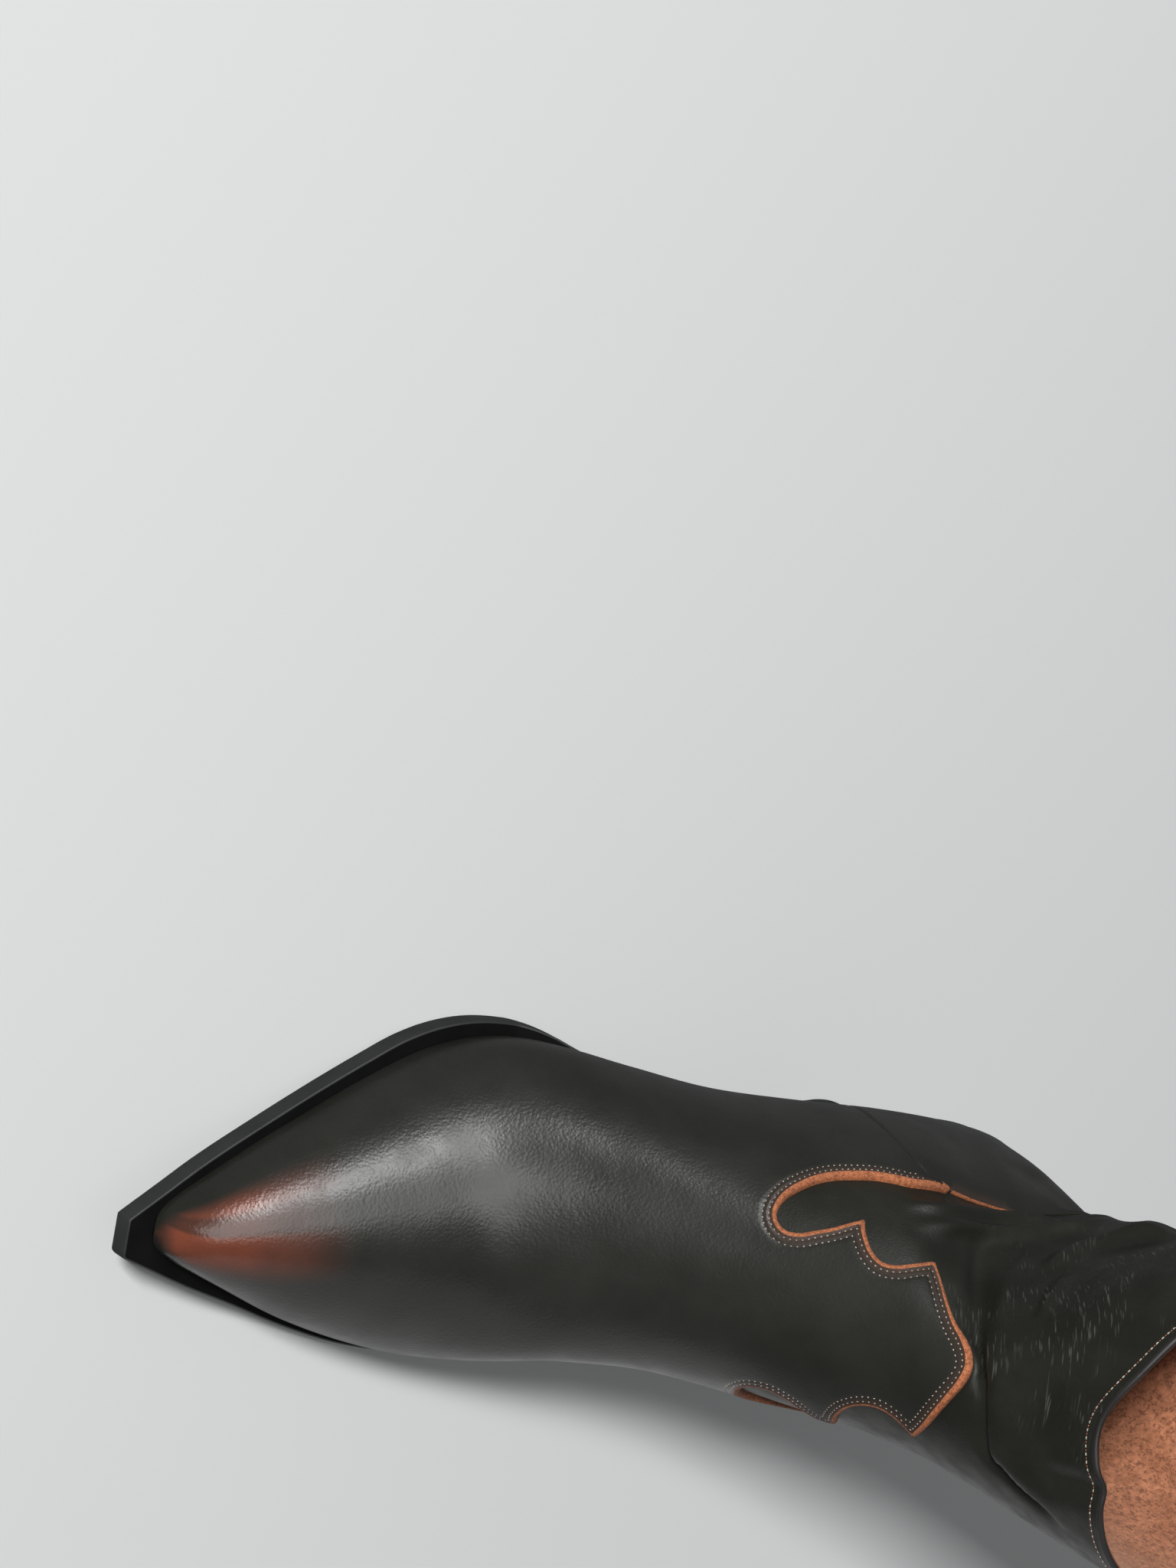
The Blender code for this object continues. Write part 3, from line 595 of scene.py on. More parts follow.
class Skin:
    """Triangles on the last with values at their points, which cutting carries along."""

    def __init__(self, pitch, columns):
        places = even_places(pitch)
        grid = last_grid(places, columns)
        closed_from = int(np.searchsorted(places, FIRST_CLOSED))
        normals = grid_normals(grid, closed_from)
        flat = grid.reshape(-1, 3)
        side, _, raw = VAMP_LINE.measure(flat)
        lift = fold_lift(flat, side).reshape(grid.shape[:2])
        grid = grid + normals * lift[:, :, None]
        normals = grid_normals(grid, closed_from)
        index = np.arange(grid.shape[0] * grid.shape[1]).reshape(grid.shape[:2])
        index[closed_from:, -1] = index[closed_from:, 0]
        index[0] = index[0, 0]
        self.places = places
        self.index = index
        self.values = {
            "point": grid.reshape(-1, 3),
            "normal": normals.reshape(-1, 3),
            "flat": flat,
            "side": side,
            "raw": raw,
        }
        self.triangles = grid_triangles(index, self.values["point"])

    def copy(self, from_section=0.0):
        """The same skin from a section on, to cut apart."""
        other = Skin.__new__(Skin)
        other.places = self.places
        other.index = self.index
        other.values = {key: value.copy() for key, value in self.values.items()}
        rows = self.index[int(np.searchsorted(self.places, from_section)):]
        other.triangles = grid_triangles(rows, self.values["point"])
        return other

    def cut(self, name, level, near=0.02):
        """Splits the triangles along the line where a value reaches a level."""
        field = self.values[name]
        field[np.abs(field - level) < near] = level
        side = np.sign(field - level)
        corners = side[self.triangles]
        crossed = (corners.min(axis=1) < 0) & (corners.max(axis=1) > 0)
        kept = [self.triangles[~crossed]]
        work = self.triangles[crossed]
        corners = corners[crossed]
        count = len(field)
        pairs = np.sort(triangle_edges(work), axis=1)
        pairs = np.unique(pairs[side[pairs[:, 0]] * side[pairs[:, 1]] < 0], axis=0)
        codes = pairs[:, 0] * count + pairs[:, 1]
        share = (level - field[pairs[:, 0]]) / (field[pairs[:, 1]] - field[pairs[:, 0]])

        def middle(a, b):
            low = np.minimum(a, b)
            return count + np.searchsorted(codes, low * count + np.maximum(a, b))

        for lead in range(3):
            a, b, c = (work[:, (lead + k) % 3] for k in range(3))
            sa, sb, sc = (corners[:, (lead + k) % 3] for k in range(3))
            on = (sa == 0) & (sb * sc < 0)
            half = middle(b[on], c[on])
            kept.append(np.column_stack([a[on], b[on], half]))
            kept.append(np.column_stack([a[on], half, c[on]]))
            lone = (sa * sb < 0) & (sa * sc < 0)
            first = middle(a[lone], b[lone])
            second = middle(a[lone], c[lone])
            kept.append(np.column_stack([a[lone], first, second]))
            kept.append(np.column_stack([first, b[lone], c[lone]]))
            kept.append(np.column_stack([first, c[lone], second]))
        for key, value in self.values.items():
            portion = share if value.ndim == 1 else share[:, None]
            new = value[pairs[:, 0]] + (value[pairs[:, 1]] - value[pairs[:, 0]]) * portion
            self.values[key] = np.concatenate([value, new])
        self.values[name][count:] = level
        self.triangles = np.concatenate(kept)

    def keep_above(self, name, level):
        """Drops the triangles below a level."""
        self.triangles = self.triangles[self.values[name][self.triangles].max(axis=1) > level]

    def keep_largest(self):
        """Drops the triangles that don't hang together with most of the others."""
        label = np.arange(len(self.values["point"]))
        while True:
            lowest = label[self.triangles].min(axis=1)
            before = label.copy()
            for corner in range(3):
                np.minimum.at(label, self.triangles[:, corner], lowest)
            label = label[label]
            if (label == before).all():
                break
        names, counts = np.unique(label[self.triangles[:, 0]], return_counts=True)
        self.triangles = self.triangles[label[self.triangles[:, 0]] == names[counts.argmax()]]

    def line_at(self, name, level):
        """Edges that lie on a level, as pairs of point numbers."""
        on = self.values[name] == level
        edges = triangle_edges(self.triangles)
        edges = np.sort(edges[on[edges].all(axis=1)], axis=1)
        return np.unique(edges, axis=0)


class Line:
    """A dense line on the last through rows of marks, smooth within each row, with corners between."""

    def __init__(self, rows, flags):
        pieces = []
        marked = []
        for row, flag in zip(rows, flags):
            marks = settle(np.array(row))
            way = lengths(marks)
            dense = smooth(np.linspace(0, way[-1], int(way[-1] / LINE_PITCH) + 2), way, marks)
            dense = settle(dense)
            pieces.append(dense if not pieces else dense[1:])
            marked.append(np.full(len(pieces[-1]), float(flag)))
        self.points = np.concatenate(pieces)
        self.flags = np.concatenate(marked)
        self.way = lengths(self.points)
        along = np.diff(self.points, axis=0)
        middle = (self.points[1:] + self.points[:-1]) / 2
        side = np.cross(BASE_NORMALS[nearest(middle, BASE_POINTS)], along)
        self.side = side / np.linalg.norm(side, axis=1, keepdims=True)

    def measure(self, points):
        """Signed distance of points from the line, over 0 on its left, their way along it and flags."""
        best = nearest(points, self.points)
        last = len(self.points) - 2
        reach = np.full(len(points), np.inf)
        signed = np.zeros(len(points))
        way = np.zeros(len(points))
        for segment in (np.clip(best - 1, 0, last), np.clip(best, 0, last)):
            start = self.points[segment]
            step = self.points[segment + 1] - start
            share = ((points - start) * step).sum(axis=1) / (step**2).sum(axis=1)
            held = np.clip(share, 0, 1)
            off = points - start - step * held[:, None]
            side = self.side[segment].copy()
            at_end = (share >= 1) & (segment < last)
            side[at_end] += self.side[np.minimum(segment + 1, last)][at_end]
            at_start = (share <= 0) & (segment > 0)
            side[at_start] += self.side[np.maximum(segment - 1, 0)][at_start]
            distance = np.linalg.norm(off, axis=1)
            nearer = distance < reach
            reach[nearer] = distance[nearer]
            signed[nearer] = (distance * np.sign((off * side).sum(axis=1)))[nearer]
            way[nearer] = (self.way[segment] + held * np.linalg.norm(step, axis=1))[nearer]
        return signed, way, self.flags[best]


def nearest(points, others):
    """Number of the nearest of the other points for each point."""
    found = np.empty(len(points), int)
    square = (others**2).sum(axis=1) / 2
    for start in range(0, len(points), NEAREST_BLOCK):
        block = points[start:start + NEAREST_BLOCK]
        found[start:start + NEAREST_BLOCK] = (square - block @ others.T).argmin(axis=1)
    return found


def settle(points):
    """Points moved to the smooth last."""
    close = nearest(points, BASE_POINTS)
    off = ((points - BASE_POINTS[close]) * BASE_NORMALS[close]).sum(axis=1)
    return points - BASE_NORMALS[close] * off[:, None]


def along_fold(marks, points):
    """Signed distance of points from a fold, their share of its way, and a weight fading to its ends."""
    line = Line([marks], [0])
    signed, way, _ = line.measure(points)
    share = way / line.way[-1]
    return signed, share, ease(share / FOLD_TAPER) * ease((1 - share) / FOLD_TAPER)


def fold_lift(points, vamp_side):
    """How far each point of the last is raised or sunk by the folds, which keep clear of the vamp."""
    lift = np.zeros(len(points))
    for fold in FOLDS:
        signed, _, taper = along_fold(fold["marks"], points)
        lift += taper * fold["height"] * hump(signed, fold["width"])
    lift *= ease(vamp_side / FOLD_CLEARANCE)
    signed, share, taper = along_fold(CREASE["marks"], points)
    clear = taper * ease(vamp_side / CREASE_CLEARANCE)
    lift -= clear * CREASE["depth"] * hump(signed, CREASE["width"])
    grown = ease((share - CREASE["lip_from"]) / (CREASE["lip_full"] - CREASE["lip_from"]))
    steep = CREASE["steep"] * (1 + ease((share - CREASE["soft_from"]) / FOLD_TAPER))
    step = ease(signed / steep + CREASE["lip_start"])
    lip = CREASE["lip"] * step * hump(np.clip(signed, 0, None), CREASE["reach"])
    return lift + clear * grown * lip


def base_surface():
    places = even_places(SKIN_PITCH)
    grid = last_grid(places, SKIN_COLUMNS)
    normals = grid_normals(grid, int(np.searchsorted(places, FIRST_CLOSED)))
    return grid.reshape(-1, 3), normals.reshape(-1, 3)


BASE_POINTS, BASE_NORMALS = base_surface()
VAMP_LINE = Line(
    (RIGHT_SEAM, TAB_TOP, RIGHT_TAB, RIGHT_BAY, TONGUE, LEFT_BAY, LEFT_LOBE, LEFT_SEAM),
    (0, 0, 1, 1, 1, 1, 1, 0),
)
WHOLE = Skin(SKIN_PITCH, SKIN_COLUMNS)


# Colours of the leathers, and where they change in the row frame, in metres
VAMP_DARK = (0.0140, 0.0144, 0.0118)
VAMP_LIGHT = (0.0198, 0.0203, 0.0170)
BURNT_RED = (0.165, 0.043, 0.022)
EDGE_BROWN = (0.050, 0.030, 0.022)
SHAFT_DARK = (0.0100, 0.0105, 0.0076)
SHAFT_LIGHT = (0.0150, 0.0156, 0.0116)
SCRATCH_GREY = (0.056, 0.055, 0.051)
RAW_DARK = (0.20, 0.060, 0.024)
RAW_LIGHT = (0.44, 0.150, 0.060)
CLOUD_RANGE = (0.3, 0.7)
BURN_X = (0.086, 0.120)
BURN_FACING = (0.52, 0.80)
BURN_NOSE = 0.3
BURN_Y = (0.011, 0.001)
BURN_CLOUD = (0.25, 0.75, 0.6, 1.0)
RUBBED_FROM = (-0.70, -0.54)
RUBBED_TO = (-0.14, -0.32)
RUBBED_KEEPS = 0.35
HIGH_Z = (0.085, 0.112)
HIGH_ROUGHER = 0.16
HIGH_SHINE = (0.5, 0.14)
POLISH_X = (0.098, 0.126)
POLISH = -0.07
HAIR_TURN = (0, 0.82, 0)
HAIR_DRAW = (0.06, 0.06, 1.0)
HAIR_WIDTH = 0.42
HAIR_RANGE = (0.58, 0.72)
HAIR_PATCH = (0.44, 0.64)
HAIR_Y = (0.012, -0.004)
HAIR_Z = (0.114, 0.130)


# Materials

def new_material(name, colour, roughness):
    material = bpy.data.materials.new(name)
    material.use_nodes = True
    shader = material.node_tree.nodes["Principled BSDF"]
    shader.inputs["Base Color"].default_value = (*colour, 1)
    shader.inputs["Roughness"].default_value = roughness
    return material, material.node_tree, shader


def add(tree, kind, inputs=None, **settings):
    """A node with its settings, and with its inputs linked or set."""
    node = tree.nodes.new(kind)
    for key, value in settings.items():
        setattr(node, key, value)
    for key, value in (inputs or {}).items():
        if isinstance(value, bpy.types.NodeSocket):
            tree.links.new(value, node.inputs[key])
        else:
            node.inputs[key].default_value = value
    return node


def object_coords(tree):
    return add(tree, "ShaderNodeTexCoord").outputs["Object"]


def mapped(tree, coords, **changes):
    """Coordinates turned or stretched."""
    return add(tree, "ShaderNodeMapping", {"Vector": coords, **changes}).outputs["Vector"]


def axes(tree, vector):
    return add(tree, "ShaderNodeSeparateXYZ", {"Vector": vector}).outputs


def noise(tree, coords, size, detail=3.0, distortion=0.0):
    """Cloudy values from 0 to 1 with features of about this size in millimetres."""
    inputs = {"Vector": coords, "Scale": 1 / (size * MM), "Detail": detail, "Distortion": distortion}
    return add(tree, "ShaderNodeTexNoise", inputs).outputs["Fac"]


def cells(tree, coords, size):
    """Soft cells of about this size in millimetres, 0 in their middles."""
    inputs = {"Vector": coords, "Scale": 1 / (size * MM), "Smoothness": 0.6}
    return add(tree, "ShaderNodeTexVoronoi", inputs, feature="SMOOTH_F1").outputs["Distance"]


def remap(tree, value, low, high, to_low=0.0, to_high=1.0, soft=True):
    inputs = {"Value": value, "From Min": low, "From Max": high, "To Min": to_low, "To Max": to_high}
    kind = "SMOOTHSTEP" if soft else "LINEAR"
    return add(tree, "ShaderNodeMapRange", inputs, interpolation_type=kind).outputs["Result"]


def cloud(tree, coords, size, detail, to_low=0.0, to_high=1.0, distortion=0.0):
    """Soft patches of about this size in millimetres."""
    return remap(tree, noise(tree, coords, size, detail, distortion), *CLOUD_RANGE, to_low, to_high)


def combine(tree, operation, *values):
    result = values[0]
    for value in values[1:]:
        result = add(tree, "ShaderNodeMath", {0: result, 1: value}, operation=operation).outputs[0]
    return result


def blend(tree, share, first, second):
    """A colour between two, by a share from 0 to 1."""
    inputs = {0: share}
    for key, colour in ((6, first), (7, second)):
        inputs[key] = colour if isinstance(colour, bpy.types.NodeSocket) else (*colour, 1)
    return add(tree, "ShaderNodeMix", inputs, data_type="RGBA").outputs[2]


def attribute(tree, name):
    return add(tree, "ShaderNodeAttribute", attribute_name=name).outputs["Fac"]


def bump(tree, shader, height, depth, strength=1.0):
    """Relief of this depth in millimetres."""
    inputs = {"Height": height, "Distance": depth * MM, "Strength": strength}
    tree.links.new(add(tree, "ShaderNodeBump", inputs).outputs["Normal"], shader.inputs["Normal"])


def pebble(tree, coords, size):
    """Height of leather grain: soft cells broken up by finer noise."""
    warped = noise(tree, coords, size * 2.2, 2.0, 0.6)
    body = combine(tree, "MULTIPLY", cells(tree, coords, size), -1.0)
    return combine(tree, "ADD", body, combine(tree, "MULTIPLY", warped, 0.9))


def vamp_leather():
    """Satin charcoal leather, burnt red at the toe's tip, browner along raw edges and duller high up."""
    material, tree, shader = new_material("vamp_leather", (0.014, 0.014, 0.013), 0.34)
    coords = object_coords(tree)
    colour = blend(tree, cloud(tree, coords, 24, 4.0), VAMP_DARK, VAMP_LIGHT)
    place = axes(tree, coords)
    facing = axes(tree, add(tree, "ShaderNodeNewGeometry").outputs["Normal"])
    tip = remap(tree, place["X"], *BURN_X)
    nose = combine(tree, "MULTIPLY", facing["X"], BURN_NOSE)
    ridge = remap(tree, combine(tree, "ADD", facing["Z"], nose), *BURN_FACING)
    left = remap(tree, place["Y"], *BURN_Y)
    rubbed = [remap(tree, facing["Y"], *ends) for ends in (RUBBED_FROM, RUBBED_TO)]
    kept = remap(tree, combine(tree, "MULTIPLY", *rubbed), 0.0, 1.0, 1.0, RUBBED_KEEPS)
    patches = remap(tree, noise(tree, coords, 14, 4.0), *BURN_CLOUD)
    burn = combine(tree, "MULTIPLY", tip, ridge, left, patches, kept)
    colour = blend(tree, burn, colour, BURNT_RED)
    edge = remap(tree, attribute(tree, "tinge"), TINGE_REACH, TINGE_FULL, 0.0, TINGE_MOST)
    colour = blend(tree, edge, colour, EDGE_BROWN)
    tree.links.new(colour, shader.inputs["Base Color"])
    rough = cloud(tree, coords, 9, 4.0, 0.29, 0.36)
    dull = remap(tree, place["Z"], *HIGH_Z, 0.0, HIGH_ROUGHER)
    polish = remap(tree, place["X"], *POLISH_X, 0.0, POLISH)
    tree.links.new(combine(tree, "ADD", rough, dull, polish), shader.inputs["Roughness"])
    shine = remap(tree, place["Z"], *HIGH_Z, *HIGH_SHINE)
    tree.links.new(shine, shader.inputs["Specular IOR Level"])
    bump(tree, shader, pebble(tree, coords, 0.8), 0.09, 0.5)
    return material


def shaft_leather():
    """Softer charcoal leather with light hair scratches up the right of the shaft."""
    material, tree, shader = new_material("shaft_leather", (0.012, 0.012, 0.0112), 0.44)
    coords = object_coords(tree)
    colour = blend(tree, cloud(tree, coords, 18, 5.0), SHAFT_DARK, SHAFT_LIGHT)
    drawn = mapped(tree, mapped(tree, coords, Rotation=HAIR_TURN), Scale=HAIR_DRAW)
    hair = remap(tree, noise(tree, drawn, HAIR_WIDTH, 1.0), *HAIR_RANGE)
    patch = remap(tree, noise(tree, coords, 13, 2.0), *HAIR_PATCH)
    place = axes(tree, coords)
    right = remap(tree, place["Y"], *HAIR_Y)
    high = remap(tree, place["Z"], *HAIR_Z)
    colour = blend(tree, combine(tree, "MULTIPLY", hair, patch, right, high), colour, SCRATCH_GREY)
    tree.links.new(colour, shader.inputs["Base Color"])
    tree.links.new(cloud(tree, coords, 7, 4.0, 0.38, 0.48), shader.inputs["Roughness"])
    shader.inputs["Specular IOR Level"].default_value = 0.32
    bump(tree, shader, pebble(tree, coords, 0.6), 0.09, 0.4)
    return material


def raw_edge():
    """Cut edge of the leather: orange-brown fibre."""
    material, tree, shader = new_material("raw_edge", (0.36, 0.115, 0.045), 0.85)
    coords = object_coords(tree)
    fibre = cloud(tree, coords, 0.7, 4.0, distortion=0.4)
    tree.links.new(blend(tree, fibre, RAW_DARK, RAW_LIGHT), shader.inputs["Base Color"])
    bump(tree, shader, noise(tree, coords, 0.35, 3.0), 0.15, 0.8)
    return material


def suede(name, dark, light, speck):
    """Napped suede with dark fibre specks."""
    material, tree, shader = new_material(name, light, 0.95)
    coords = object_coords(tree)
    colour = blend(tree, cloud(tree, coords, 9, 5.0), dark, light)
    nap = remap(tree, noise(tree, coords, 1.6, 5.0, 0.5), 0.3, 0.7, 0.72, 1.28, soft=False)
    colour = add(tree, "ShaderNodeVectorMath", {0: colour, "Scale": nap}, operation="SCALE").outputs[0]
    drawn = mapped(tree, coords, Scale=(1.0, 0.6, 0.6))
    fibre = remap(tree, noise(tree, drawn, 0.85, 2.0, 1.0), 0.50, 0.63)
    colour = blend(tree, combine(tree, "MULTIPLY", fibre, 0.62), colour, speck)
    tree.links.new(colour, shader.inputs["Base Color"])
    shader.inputs["Sheen Weight"].default_value = 0.25
    shader.inputs["Sheen Roughness"].default_value = 0.6
    shader.inputs["Sheen Tint"].default_value = (1.0, 0.72, 0.55, 1)
    shader.inputs["Specular IOR Level"].default_value = 0.2
    bump(tree, shader, noise(tree, coords, 0.6, 4.0), 0.3, 0.7)
    return material


def plain(name, dark, light, roughness, grain=0.5, depth=0.02, shine=0.5):
    """An even finish with a little mottling and fine relief."""
    material, tree, shader = new_material(name, light, roughness)
    shader.inputs["Specular IOR Level"].default_value = shine
    coords = object_coords(tree)
    colour = blend(tree, cloud(tree, coords, 12, 4.0), dark, light)
    tree.links.new(colour, shader.inputs["Base Color"])
    bump(tree, shader, noise(tree, coords, grain, 3.0), depth, 0.6)
    return material


VAMP = vamp_leather()
SHAFT = shaft_leather()
RAW = raw_edge()
LINING = suede("lining_suede", (0.33, 0.130, 0.066), (0.44, 0.183, 0.098), (0.10, 0.034, 0.019))
ROLL = plain("rolled_edge", (0.012, 0.0108, 0.010), (0.019, 0.0172, 0.0162), 0.42, shine=0.4)
THREAD = plain("thread", (0.27, 0.215, 0.175), (0.42, 0.36, 0.31), 0.6, 0.3, 0.04)
SOLE = plain("sole_black", (0.018, 0.0185, 0.019), (0.024, 0.0245, 0.025), 0.5)
# The sole's top ledge along the upper: the black sole darkened further, as painted shade for the groove
# between sole and upper
LEDGE_SHADE = plain("ledge_painted_shade", (0.003, 0.003, 0.003), (0.005, 0.005, 0.005), 0.75, shine=0.1)
HEEL = plain("heel_black", (0.015, 0.015, 0.0145), (0.021, 0.021, 0.020), 0.42)
RUBBER = plain("lift_rubber", (0.012, 0.012, 0.012), (0.018, 0.018, 0.018), 0.75, 0.8, 0.05)


# Meshes

def make_piece(name, points, faces, materials, choice=None, values=None, sharp=40.0):
    """One piece in the row frame from points in the last's frame, riding on the boot."""
    mesh = bpy.data.meshes.new(name)
    mesh.from_pydata(to_world(points), [], [list(map(int, face)) for face in faces])
    for material in materials:
        mesh.materials.append(material)
    if choice is not None:
        mesh.polygons.foreach_set("material_index", np.asarray(choice, np.int32))
    for key, value in (values or {}).items():
        layer = mesh.attributes.new(key, "FLOAT", "POINT")
        layer.data.foreach_set("value", np.asarray(value, np.float32))
    mesh.shade_smooth()
    mesh.set_sharp_from_angle(angle=np.radians(sharp))
    piece = bpy.data.objects.new(name, mesh)
    bpy.context.scene.collection.objects.link(piece)
    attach(piece, "root")
    return piece


def on_sole(points):
    """Points held above the sole."""
    held = points.copy()
    held[:, 2] = np.maximum(held[:, 2], sole_top(held[:, 0]) + SKIN_CLEARANCE)
    return held


def make_shell(name, skin, top, bottom, materials, raw=None, values=None):
    """A solid over a skin between two heights, closed all round. raw is 1 on faces of the cut edge."""
    used, triangles = np.unique(skin.triangles, return_inverse=True)
    triangles = triangles.reshape(-1, 3)
    count = len(used)
    point = skin.values["point"][used]
    normal = skin.values["normal"][used]
    outer = on_sole(point + normal * np.broadcast_to(top, len(skin.values["point"]))[used, None])
    inner = on_sole(point + normal * np.broadcast_to(bottom, len(skin.values["point"]))[used, None])
    edges = triangle_edges(triangles)
    codes = edges[:, 0] * count + edges[:, 1]
    lone = edges[~np.isin(codes, edges[:, 1] * count + edges[:, 0])]
    walls = np.concatenate([
        np.column_stack([lone[:, 1], lone[:, 0], lone[:, 0] + count]),
        np.column_stack([lone[:, 1], lone[:, 0] + count, lone[:, 1] + count]),
    ])
    faces = np.concatenate([triangles, triangles[:, ::-1] + count, walls])
    choice = np.zeros(len(faces), int)
    if raw is not None:
        marked = raw[used]
        choice[:len(triangles)] = marked[triangles].min(axis=1) > 0.5
        both = np.concatenate([marked, marked])
        choice[2 * len(triangles):] = both[walls].min(axis=1) > 0.5
    carried = {key: np.tile(skin.values[key][used], 2) for key in (values or ())}
    points = np.concatenate([outer, inner])
    return make_piece(name, points, faces, materials, choice, carried)


def overlay_height(edge, raw, top):
    """Height of an overlay's face by distance from its edge: a rounded cut and two stitched channels."""
    rise = np.sqrt(np.clip(1 - (1 - np.clip(edge / EDGE_RISE, 0, 1)) ** 2, 0, 1))
    cut = EDGE_FOOT + (1 - EDGE_FOOT) * rise
    height = (top + raw * EDGE_CURL * hump(edge, EDGE_CURL_REACH)) * (raw * cut + 1 - raw)
    for row in STITCH_ROWS:
        height -= raw * STITCH_DENT * hump(edge - row, STITCH_DENT_WIDTH)
    groove = SEAM_GROOVE * hump(edge, SEAM_GROOVE_WIDTH)
    return height - (1 - raw) * groove


def make_overlay(name, node, skin, levels, ribbon, thick):
    """An overlay over the skin's places whose edge value is more than 0, with a cut edge where raw is 1.

    ribbon is how wide the cut edge shows. The overlay thins out to the sole along the left side.
    """
    skin.values["thick"] = np.broadcast_to(thick, len(skin.values["edge"])).astype(float)
    skin.values["ribbon"] = skin.values["edge"] - ribbon
    skin.cut("ribbon", 0.0)
    for level in levels:
        skin.cut("edge", level)
    skin.keep_above("edge", 0.0)
    skin.keep_largest()
    raw = np.round(skin.values["raw"])
    edge = skin.values["edge"]
    skin.values["tinge"] = np.where(raw > 0.5, edge, TINGE_REACH)
    x, y, z = skin.values["flat"].T
    low = ease(1 - (z - feather(x)) / FEATHER_REACH) * ease(y / FEATHER_SIDE)
    top = GAP + overlay_height(edge, raw, skin.values["thick"]) - FEATHER_THIN * low
    cut = (raw > 0.5) & (skin.values["ribbon"] < 0.01)
    raw = cut.astype(float)
    piece = make_shell(name, skin, top, SKIN_CLEARANCE, [VAMP, RAW], raw, ("tinge",))
    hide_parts(node)


def make_vamp():
    skin = WHOLE.copy()
    skin.values["edge"] = -skin.values["side"]
    levels = list(EDGE_LEVELS)
    for row in STITCH_ROWS:
        levels += [row - STITCH_CHANNEL, row, row + STITCH_CHANNEL]
    make_overlay("vamp_skin", "vamp", skin, levels, RAW_WIDTH, OVERLAY_THICK)
    return skin


def make_counter():
    skin = WHOLE.copy()
    above, _, _ = Line([COUNTER_TOP], [1]).measure(skin.values["flat"])
    behind = skin.values["side"] - SEAM_GAP
    skin.values["edge"] = np.minimum(behind, above)
    x, y, _ = skin.values["flat"].T
    shown = np.where(y < 0, np.clip((x - COUNTER_COVERED_X) / COUNTER_RIBBON_RUN, 0, 1), 1.0)
    skin.values["raw"] = ((above < behind) & (shown > 0)).astype(float)
    full = ease(above / COUNTER_EDGE_REACH)
    thick = OVERLAY_THICK * (COUNTER_EDGE_SHARE + (1 - COUNTER_EDGE_SHARE) * full)
    make_overlay("counter_skin", "counter", skin, EDGE_LEVELS, COUNTER_RIBBON * shown, thick)


def make_shaft():
    skin = WHOLE.copy(SHAFT_FROM)
    piece = make_shell("shaft_skin", skin, 0.0, -LEATHER, [SHAFT])
    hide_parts("upper")
    inside = Skin(LINING_PITCH, LINING_COLUMNS)
    off, _, _ = along_fold(CREASE["marks"], inside.values["flat"])
    sink = LINING_SINK * hump(off, LINING_SINK_WIDTH)
    make_shell("lining", inside, -LEATHER - SKIN_CLEARANCE - sink, -WALL - sink, [LINING])


def chains(edges):
    """Edges joined into runs of point numbers."""
    links = {}
    for a, b in edges.tolist():
        links.setdefault(a, []).append(b)
        links.setdefault(b, []).append(a)
    runs = []
    left = set(links)
    ends = [key for key, value in links.items() if len(value) == 1]
    for start in ends + list(links):
        if start not in left:
            continue
        run = [start]
        left.discard(start)
        while True:
            further = [other for other in links[run[-1]] if other in left]
            if not further:
                break
            run.append(further[0])
            left.discard(further[0])
        runs.append(run)
    return runs


def capsule(centre, along, out, length, radius):
    """A short thread bead, sunk at both ends."""
    across = np.cross(out, along)
    points = []
    for share, wide in zip(np.linspace(-1, 1, len(BEAD_SHAPE)), BEAD_SHAPE):
        middle = centre + along * share * length / 2 - out * radius * BEAD_BOW * 2 * share**2
        for turn in np.linspace(0, 2 * np.pi, BEAD_SIDES, endpoint=False):
            points.append(middle + wide * radius * (np.cos(turn) * across + np.sin(turn) * out))
    index, faces = tube(len(BEAD_SHAPE), BEAD_SIDES)
    faces.append(index[0].tolist())
    faces.append(index[-1, ::-1].tolist())
    return np.array(points), faces


def stitch_line(points, normals, pitch, length, radius, start=0.5):
    """Beads at even steps along a line of points, the first one a share of a step from its start."""
    way = lengths(points)
    made = []
    count = int(way[-1] / pitch)
    for place in (np.arange(count) + start) * way[-1] / max(count, 1):
        here, ahead, out = (
            np.array([np.interp(at, way, column) for column in table.T])
            for at, table in ((place, points), (place + STITCH_AHEAD, points), (place, normals))
        )
        along = ahead - here
        along -= out * (along @ out)
        if np.linalg.norm(along) < 1e-6:
            continue
        out /= np.linalg.norm(out)
        along /= np.linalg.norm(along)
        made.append(capsule(here + out * (radius - STITCH_SINK), along, out, length, radius))
    return made


def join_beads(name, beads, material):
    points = np.concatenate([bead[0] for bead in beads])
    faces = []
    start = 0
    for bead_points, bead_faces in beads:
        faces += [[index + start for index in face] for face in bead_faces]
        start += len(bead_points)
    return make_piece(name, points, faces, [material], sharp=180.0)


def make_wing_stitches(skin):
    beads = []
    point = skin.values["point"]
    normal = skin.values["normal"]
    raw = skin.values["raw"]
    for row in STITCH_ROWS:
        height = GAP + overlay_height(np.array([row]), np.array([1.0]), OVERLAY_THICK)[0]
        edges = skin.line_at("edge", row)
        edges = edges[raw[edges].min(axis=1) > 0.5]
        for run in chains(edges):
            if len(run) < SHORTEST_RUN:
                continue
            path = point[run] + normal[run] * height
            beads += stitch_line(path, normal[run], STITCH_PITCH, STITCH_LENGTH, STITCH_RADIUS)
    join_beads("wing_stitches", beads, THREAD)


